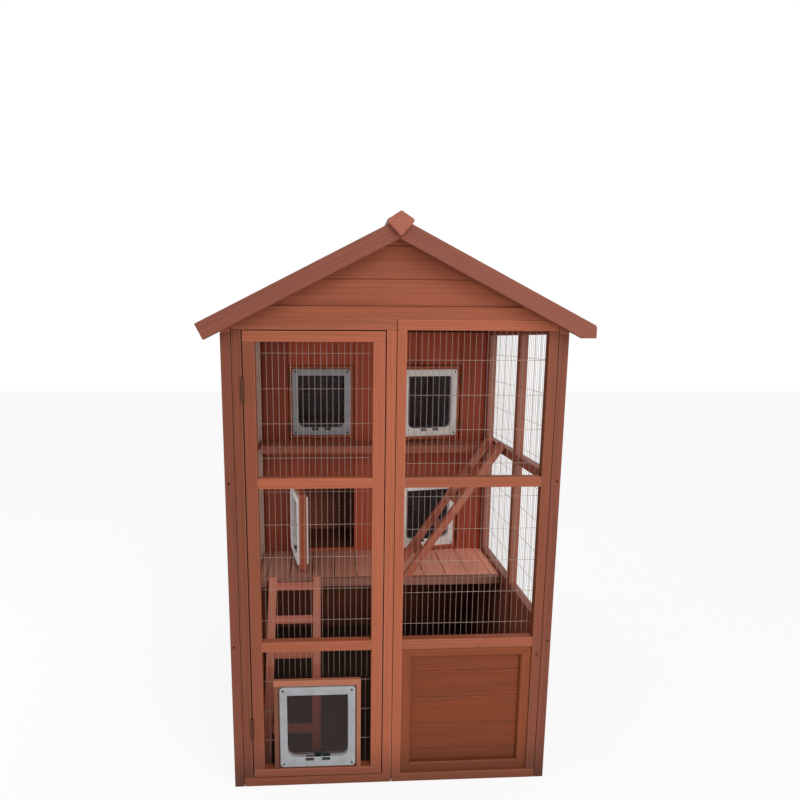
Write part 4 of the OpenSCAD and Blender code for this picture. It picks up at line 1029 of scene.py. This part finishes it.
def hinge_half(work, length, moving, place):
    """One half of a butt hinge about the pin, which is the place's Z; the door lies towards X."""
    end = length / 2
    third = length / 6 + (-between if moving else between) / 2
    x0 = half_gap - leaf_thick if moving else -half_gap
    x1 = x0 + leaf_thick
    inner, r, e = bore if moving else pin, knuckle, 0.0004
    for z0, z1 in ((-third, third),) if moving else ((-end, -third), (third, end)):
        turned(work, [(inner, z0), (r - e, z0), (r, z0 + e), (r, z1 - e), (r - e, z1), (inner, z1)], place)
        cut_block(work, (x0, 0.0005, z0), (x1, knuckle + 0.0013, z1), place)
    cut_block(work, (x0, knuckle + between, -end), (x1, pin_out + leaf_depth, end), place)
    if not moving:
        turned(work, [(0.0002, -end), (pin - 0.0002, -end), (pin, 0.0003 - end),
                      (pin, end - 0.0003), (pin - 0.0002, end), (0.0002, end)], place, 14, False)


def metalwork(name, work, material, node=None, body="root", smooth=0.7):
    """Turns the work's faces outwards and makes it a piece, round where it is round."""
    bmesh.ops.recalc_face_normals(work, faces=work.faces)
    made = as_mesh(work, name)
    rounded(made, smooth)
    finish(name, made, material, node, body)


main_hinge = 0.070
hinge_up = 0.195
hinge_down = 0.160  # from the door's top
main_pins = [Matrix.Translation((door_low.x - half_gap, front_y - pin_out, z))
             for z in (hinge_up, door_high.z - hinge_down)]
main_halves = (("main_hinges", "root", False), ("main_door_hinges", "main_door", True))
for name, body, moving in main_halves:
    work = bmesh.new()
    for place in main_pins:
        hinge_half(work, main_hinge, moving, place)
    metalwork(name + "_steel", work, hinge_steel, name, body)

room_hinge = 0.045
room_hinge_parts = (0.18, 0.82)  # of the leaf's height
leaf_wide = 0.256
leaf_high = 0.290
room_pin_x = door_middle + leaf_wide / 2 + half_gap
leaf_middle = half_gap + leaf_wide / 2
room_doors = {"ul": (1, 0.962, 0), "ur": (-1, 0.962, 12), "ml": (1, 0.499, 80), "mr": (-1, 0.499, 12)}


def door_place(word, swung=True):
    """The place of a room door's pin, turned with the door or not."""
    hand, z, angle = room_doors[word]
    return (Matrix.Translation((-hand * room_pin_x, room_face - pin_out, z))
            @ Matrix.Rotation(-hand * radians(angle) if swung else 0, 4, "Z"))


def room_hinge_pair(work, word, moving):
    """One half of both hinges of a room door."""
    hand = room_doors[word][0]
    for part in room_hinge_parts:
        hinge_half(work, room_hinge, moving, door_place(word, moving)
                   @ Matrix.Translation((0, 0, leaf_high * part)) @ Matrix.Diagonal((hand, 1, 1, 1)))


work = bmesh.new()
for word in room_doors:
    room_hinge_pair(work, word, False)
metalwork("room_hinges_steel", work, hinge_steel, "room_hinges")


# Room doors. One thick planed board each, with a hole for its flap, and hung on two small hinges.
# Their edges are paler than the faces: a painted highlight, with some wear.
leaf_fir = stained_fir("room_door", "#AA5638", "#7A3823", "#CC8A66", 0.48)
leaf_board = 0.025
flap_up = (leaf_high - flap_height) / 2
for word, (hand, z, angle) in room_doors.items():
    # The upper left board is painted darker as shade.
    leaf = Joinery({0: 0.78} if word == "ul" else None)
    y = -hand * leaf_middle
    with_hole(leaf, (0, y - leaf_wide / 2, leaf_high, y + leaf_wide / 2),
              (flap_up + way_low - sleeve - hole_play, y - hole_half,
               flap_up + way_high + sleeve + hole_play, y + hole_half), leaf_board,
              door_place(word) @ facing((0, pin_out, 0), (0, 0, 1), (0, -1, 0)))
    leaf.finish("door_" + word + "_board", leaf_fir, "wood_front", "door_" + word, 0.0012, word + "_door")
    work = bmesh.new()
    room_hinge_pair(work, word, True)
    metalwork("door_" + word + "_hinges", work, hinge_steel, None, word + "_door")


# Flap frames. Injection-moulded in grey-white ABS: a bezel with a shallow groove, a sleeve through
# the door and a ring behind. Two slots for the lock tabs and four screw recesses are moulded in.
def moulded_abs(name, colour, dusty, rough):
    """ABS from a spark-eroded mould: satin, with a fine even texture and a film of dust."""
    texture = 0.0009  # the mould's texture is 0.1 mm, drawn coarser so that it shows
    material, add, place = blank(name)
    fine = add("TexNoise", {"Vector": place, "Scale": 1 / texture, "Detail": 2.0})
    film = add("TexNoise", {"Vector": place, "Scale": 22.0, "Detail": 5.0, "Roughness": 0.6})
    share = add("MapRange", film, 0.42, 0.72, 0, 0.7)
    tint = add("Mix", {0: share, 6: rgb(colour), 7: rgb(dusty)}, data_type="RGBA").outputs[2]
    gloss = add("MapRange", film, 0.3, 0.7, rough - 0.05, rough + 0.14)
    bump = add("Bump", {"Height": fine, "Strength": 0.25, "Distance": 0.0002})
    surface = add("BsdfPrincipled", {
        "Base Color": tint, "Roughness": gloss, "IOR": 1.53, "Normal": bump})
    add("OutputMaterial", surface)
    return material


grey_abs_and_painted_shade = moulded_abs("moulded_abs_grey_white", "#979A9E", "#838384", 0.34)
room_abs = moulded_abs("moulded_abs_clean_white", "#EAE8E5", "#CECBC6", 0.34)
bezel = 0.008
bezel_round = 0.012
way_round = 0.025
groove = 0.0006
recess_in = 0.011
recess_round = 0.0036
recess_depth = 0.0025
tab_from_middle = 0.025  # the red one is on the left, the green one on the right
tab_half = 0.0125
tab_play = 0.0004
slot_top = 0.0015
slot_height = 0.011
plate_in = 0.0032
plate_thick = 0.002
plate_drop = 0.020
tab_thick = 0.0015
pane_thick = 0.004
pane_play = 0.002
pane_pin_z = way_high - 0.006
screw_places = [(x * (flap_width / 2 - recess_in), z) for x in (-1, 1)
                for z in (recess_in, flap_height - recess_in)]


def loop(half, z0, z1, low_round, high_round, y):
    """A loop of points round a flap's outline: an upright shape with its own round corners."""
    return [Vector((x + r * cos(radians(at)), y, z + r * sin(radians(at))))
            for x, z, r, first in ((half - low_round, z0 + low_round, low_round, -90),
                                   (half - high_round, z1 - high_round, high_round, 0),
                                   (-half + high_round, z1 - high_round, high_round, 90),
                                   (-half + low_round, z0 + low_round, low_round, 180))
            for at in span(first, first + 90, 7)]


def rim(g, y):
    """A loop round the bezel, g inside its edge."""
    r = max(bezel_round - g, 0.0065)
    return loop(flap_width / 2 - g, g, flap_height - g, r, r, y)


def way(g, y):
    """A loop round the way through, g outside its edge."""
    return loop(way_half + g, way_low - g, way_high + g, way_round + g, 0.0008 + g, y)


def tab_backs(thick):
    """How far back the red and the green tab reach: in front of the pane and behind it."""
    return thick / 2 - pane_thick / 2 - 0.001, thick / 2 + pane_thick / 2 + 0.001 + tab_thick


def moulded_frame(thick):
    """The mesh of a flap frame for a board of this thickness, whose face lies on y = 0."""
    work = bmesh.new()
    back = thick + bezel
    swept(work, [
        rim(0, 0), rim(0, -0.0052), rim(0.0004, -0.0066), rim(0.0012, -0.0076), rim(0.0024, -bezel),
        rim(0.0125, -bezel), rim(0.0128, groove - bezel), rim(0.0139, groove - bezel), rim(0.0142, -bezel),
        way(0.0042, -bezel), way(0.0018, -0.0078), way(0.0005, -0.0071), way(0, -0.0060),
        way(0, back - 0.002), way(0.0006, back - 0.0006), way(0.002, back),
        rim(0.0024, back), rim(0.0007, back - 0.0007), rim(0, back - 0.0024), rim(0, thick + 0.0002),
        way(sleeve, thick + 0.0002), way(sleeve, 0)])
    bmesh.ops.recalc_face_normals(work, faces=work.faces)
    room = bmesh.new()
    top = way_low - slot_top
    plate_y = plate_in - bezel - tab_play * 1.5
    for x, y1 in zip((-tab_from_middle, tab_from_middle), tab_backs(thick)):
        # Three blocks a slot: for the nub, the finger plate and the web. They differ in width by a
        # thousandth of a millimetre, so that no two sides lie in one plane.
        for k, (y0, z0, y2, z2) in enumerate((
                (-bezel - 0.001, top - slot_height, plate_y + 0.001, top),
                (plate_y, way_low - plate_drop - 0.001, -1e-5, way_low + 0.001),
                (-0.001, way_low - sleeve + tab_play / 2, y1 + tab_play, way_low + 0.0011))):
            wide = tab_half + tab_play - k * 1e-6
            cut_block(room, (x - wide, y0, z0), (x + wide, y2, z2), Matrix(), 0)
    for x, z in screw_places:
        turned(room, [(recess_round, 0.002), (recess_round, -recess_depth)],
               Matrix.Translation((x, -bezel, z)) @ Matrix.Rotation(pi / 2, 4, "X"), 20, False)
    bmesh.ops.recalc_face_normals(room, faces=room.faces)
    whole = placed("whole", as_mesh(work, "shell"))
    cutter = placed("cutter", as_mesh(room, "tool"))
    boolean = whole.modifiers.new("rooms", "BOOLEAN")
    boolean.operation = "DIFFERENCE"
    boolean.solver = "EXACT"
    boolean.use_self = True
    boolean.object = cutter
    bpy.context.view_layer.update()
    made = bpy.data.meshes.new_from_object(whole.evaluated_get(bpy.context.evaluated_depsgraph_get()))
    for obj in (whole, cutter):
        bpy.data.objects.remove(obj)
    rounded(made, 0.7)
    return made


flaps = {"main": (Matrix.Translation((flap_middle, door_low.y + board_back, main_flap_low)),
                  flap_board, "main_door", grey_abs_and_painted_shade)}
# The upper left frame takes the darker grey moulding as painted shade; the room frames are clean white.
for word, (hand, z, angle) in room_doors.items():
    flaps[word] = (door_place(word) @ Matrix.Translation((hand * leaf_middle, pin_out, flap_up)),
                   leaf_board, word + "_door", grey_abs_and_painted_shade if word == "ul" else room_abs)
frame_meshes = {thick: moulded_frame(thick) for thick in (flap_board, leaf_board)}
for word, (place, thick, body, paint) in flaps.items():
    made = frame_meshes[thick].copy()
    made.transform(place)
    finish("flap_" + word + "_moulding", made, paint, "flap_" + word + "_frame", body)


# Flap panes. Moulded in clear acrylic with a smoky tint, 4 mm thick with a raised rim; two pins of
# the same moulding turn in the frame. A small black magnet at the foot holds each pane shut.
def smoked_acrylic(name, tint, mirrored, dust):
    """Clear acrylic with a smoky tint: glossy, and softly scratched where it is wiped and pushed."""
    material, add, place = blank(name)
    wiped = add("Mapping", {"Vector": place, "Scale": (90, 90, 14)})
    marks = add("TexNoise", {"Vector": wiped, "Scale": 1.0, "Detail": 5.0})
    gloss = add("MapRange", marks, 0.35, 0.75, 0.02, 0.1)
    colour = add("Mix", {0: marks, 6: rgb(tint), 7: rgb("#C2BEBE")}, data_type="RGBA").outputs[2]
    surface = add("BsdfPrincipled", {
        "Base Color": colour, "Roughness": gloss,
        "IOR": 1.34,  # acrylic has 1.49; dust and scratches leave the real panes with less of a mirror
        "Specular Tint": rgb(mirrored), "Transmission Weight": 1 - dust})
    add("OutputMaterial", surface)
    return material


door_acrylic = smoked_acrylic("smoked_acrylic_main", "#C4A49C", "#808080", 0.03)
room_acrylic = smoked_acrylic("smoked_acrylic_rooms", "#8E8C98", "#8A8E9C", 0.04)  # colder and newer
magnet_ferrite = moulded_abs("pressed_ferrite_magnet", "#0D0D0E", "#181717", 0.55)
pane_half = way_half - pane_play
pane_foot = way_low + 0.0025
pane_top = way_high - pane_play
pane_pin = 0.0019
rim_line = ((0.0052, 0.0004), (0.0045, 0), (0.0006, 0), (0, 0.0006))  # inwards and below the rim's face


def pane_loop(g, y):
    """A loop round the pane, g inside its edge."""
    return loop(pane_half - g, pane_foot + g, pane_top - g,
                way_round - pane_play - g, max(0.006 - g, 0.0008), y)


for word, (place, thick, body, paint) in flaps.items():
    y, h = thick / 2, pane_thick / 2
    work = bmesh.new()
    swept(work, [pane_loop(g, y - h + e) for g, e in rim_line]
          + [pane_loop(g, y + h - e) for g, e in rim_line[::-1]], False)
    for side in (-1, 1):
        axle = Matrix.Translation((side * pane_half, y, pane_pin_z)) @ Matrix.Rotation(side * pi / 2, 4, "Y")
        turned(work, [(pane_pin, -0.0001), (pane_pin, 0.0050), (pane_pin - 0.0004, 0.0055)],
               axle, 14, False)
    work.transform(place)
    metalwork("flap_" + word + "_acrylic", work, door_acrylic if word == "main" else room_acrylic,
              "flap_" + word + "_pane", word + "_pane", 0.5)
    for name, corner, far_corner, edge, carrier in (
            ("_magnet", (-0.012, y - h - 0.001, pane_foot + 0.0002),
             (0.012, y + h + 0.001, pane_foot + 0.0082), 0.0006, word + "_pane"),
            ("_sill_magnet", (-0.011, 0.0015 - bezel, way_low - 0.001),
             (0.011, y + h, way_low + 0.0012), 0.0005, body)):
        work = bmesh.new()
        cut_block(work, corner, far_corner, place, edge)
        metalwork("flap_" + word + name, work, magnet_ferrite, None, carrier)


# Lock tabs. A red and a green one in each frame, moulded in ABS: a finger plate with a nub in the
# slot, a web under the pane and a blade that rises in front of the pane or behind it.
# Both tabs are written nearly black: their red and green carry the painted shade of the slots they sit in.
tabs = (("red", moulded_abs("moulded_abs_red_painted_shade", "#2E0C12", "#2A1216", 0.3), -tab_from_middle),
        ("green", moulded_abs("moulded_abs_green_painted_shade", "#08281F", "#0F2620", 0.3), tab_from_middle))
nub_height = 0.004
nub_out = 0.0026
y = plate_in - bezel
web = way_low - sleeve + tab_play
foot = way_low - plate_drop
nub = way_low - slot_top - slot_height + tab_play
for word, (place, thick, body, paint) in flaps.items():
    for (colour, tab_abs_painted_shade, x), back in zip(tabs, tab_backs(thick)):
        blade, blade_top = back - tab_thick, way_low - tab_play / 2
        profile = [
            (y, foot), (y + plate_thick, foot), (y + plate_thick, web), (back, web), (back, blade_top),
            (blade, blade_top), (blade, web + tab_thick), (y, web + tab_thick), (y, nub + nub_height),
            (y - nub_out, nub + nub_height * 0.75), (y - nub_out, nub + nub_height * 0.25), (y, nub)]
        work = bmesh.new()
        swept(work, [[place @ Vector((x + side * tab_half, depth, up)) for depth, up in profile]
                     for side in (-1, 1)], False)
        bmesh.ops.bevel(work, geom=list(work.edges), offset=0.0003, segments=2, profile=0.5, affect="EDGES",
                        clamp_overlap=True)
        metalwork("flap_" + word + "_" + colour + "_tab", work, tab_abs_painted_shade,
                  "flap_" + word + "_" + colour, word + "_" + colour + "_tab")


# Screws and nails. Cross-headed screws hold the flap frames and hinges, and pull the battens
# together; clout nails hold the felt. One node tree makes every head from its place and direction.
head_tree, head_keys, add, given = node_group("fastener_heads", {
    "Places": "Geometry", "Radius": "Float", "Dome": "Float", "Cross": "Bool", "Material": "Material"})
radius, dome = given["Radius"], given["Dome"]
ball = add("GeometryNodeMeshUVSphere", {"Segments": 12, "Rings": 6, "Radius": 1.0})
head = add("GeometryNodeTransform", {
    "Geometry": ball, "Scale": add("CombineXYZ", radius, radius, dome)})
arm, narrow = [add("Math", radius, share, operation="MULTIPLY") for share in (1.1, 0.26)]
bars = add("GeometryNodeJoinGeometry")
for x, y in ((arm, narrow), (narrow, arm)):
    bar = add("GeometryNodeMeshCube", {"Size": add("CombineXYZ", x, y, dome)})
    moved = add("GeometryNodeTransform", {
        "Geometry": bar, "Translation": add("CombineXYZ", 0, 0, dome)})
    head_tree.links.new(moved.outputs[0], bars.inputs[0])
recessed = add("GeometryNodeMeshBoolean", {
    0: head, 1: bars, "Self Intersection": True}, operation="DIFFERENCE", solver="EXACT")
choice = add("GeometryNodeSwitch", {
    "Switch": given["Cross"], "False": head, "True": recessed}, input_type="GEOMETRY")
axis = add("GeometryNodeInputNamedAttribute", {"Name": "axis"}, data_type="FLOAT_VECTOR")
aim = add("FunctionNodeAlignRotationToVector", {"Vector": axis}, axis="Z")
spun = add("FunctionNodeRandomValue", {3: pi, "Seed": 7}, data_type="FLOAT")
twist = add("CombineXYZ", 0, 0, spun.outputs[1])
aimed = add("FunctionNodeRotateRotation", aim, twist, rotation_space="LOCAL")
set_out = add("GeometryNodeInstanceOnPoints", {
    "Points": given["Places"], "Instance": choice, "Rotation": aimed})
group_end(add, set_out, given["Material"])


def heads(name, places, material, body="root", *, radius, dome, cross=True):
    """Heads at places, each a point and the direction it faces."""
    base = bpy.data.meshes.new("places")
    base.from_pydata([tuple(point) for point, out in places], [], [])
    base.attributes.new("axis", "FLOAT_VECTOR", "POINT")
    for k, (point, out) in enumerate(places):
        base.attributes["axis"].data[k].vector = Vector(out).normalized()
    made = evaluated(head_tree, head_keys, {
        "Radius": radius, "Dome": dome, "Cross": cross, "Material": material}, base)
    rounded(made, 0.6)
    finish(name, made, material, None, body)


black_screw = bronzed_steel("blackened_steel_screw", "#151211", "#332D29")
for word, (place, thick, body, paint) in flaps.items():
    heads("flap_" + word + "_screws", [
        (place @ Vector((x, recess_depth - bezel, z)), place.to_3x3() @ Vector((0, -1, 0)))
        for x, z in screw_places], black_screw, body, radius=0.0035, dome=0.0016)


def leaf_screws(length, moving, place):
    """Screws in a hinge leaf, sunk in it: three in a row that is staggered."""
    out = Vector((-1 if moving else 1, 0, 0))
    x = out.x * (leaf_thick - half_gap + 0.0001)
    return [(place @ Vector((x, pin_out + leaf_depth * deep, length * up)), place.to_3x3() @ out)
            for deep, up in ((0.42, -0.36), (0.62, 0), (0.42, 0.36))]


for name, body, moving in main_halves:
    spots = [spot for place in main_pins for spot in leaf_screws(main_hinge, moving, place)]
    heads(name + "_screws", spots, hinge_steel, body, radius=0.003, dome=0.0002)

post_screw_x = 0.4695
post_screw_heights = (0.9545, 0.4602)
heads("front_post_screws", [((hand * post_screw_x, front_y + 0.0001, z), (0, -1, 0))
                            for hand in (-1, 1) for z in post_screw_heights],
      black_screw, radius=0.0034, dome=0.0006)

nail_step = 0.075
nail_sunk = 0.0003
nail_in = 0.012  # from the felt's edges
row_end = sheet_end - 0.02
edge_run = (panel_reach - nail_in) / slope_cos
nails = []
for hand in (-1, 1):
    place = above_slope(hand, roof_thick + felt_thick)
    spots = [(x, edge_run) for x in span(-row_end, row_end, round(row_end * 2 / nail_step))]
    spots += [(x, y) for x in (nail_in - sheet_end, sheet_end - nail_in)
              for y in span(0.06, edge_run, 7)[1:-1]]
    nails += [(place @ Vector((x, y, -nail_sunk)), place.to_3x3() @ Vector((0, 0, 1))) for x, y in spots]
heads("felt_nails", nails, wire_metal, radius=0.0045, dome=0.0011, cross=False)
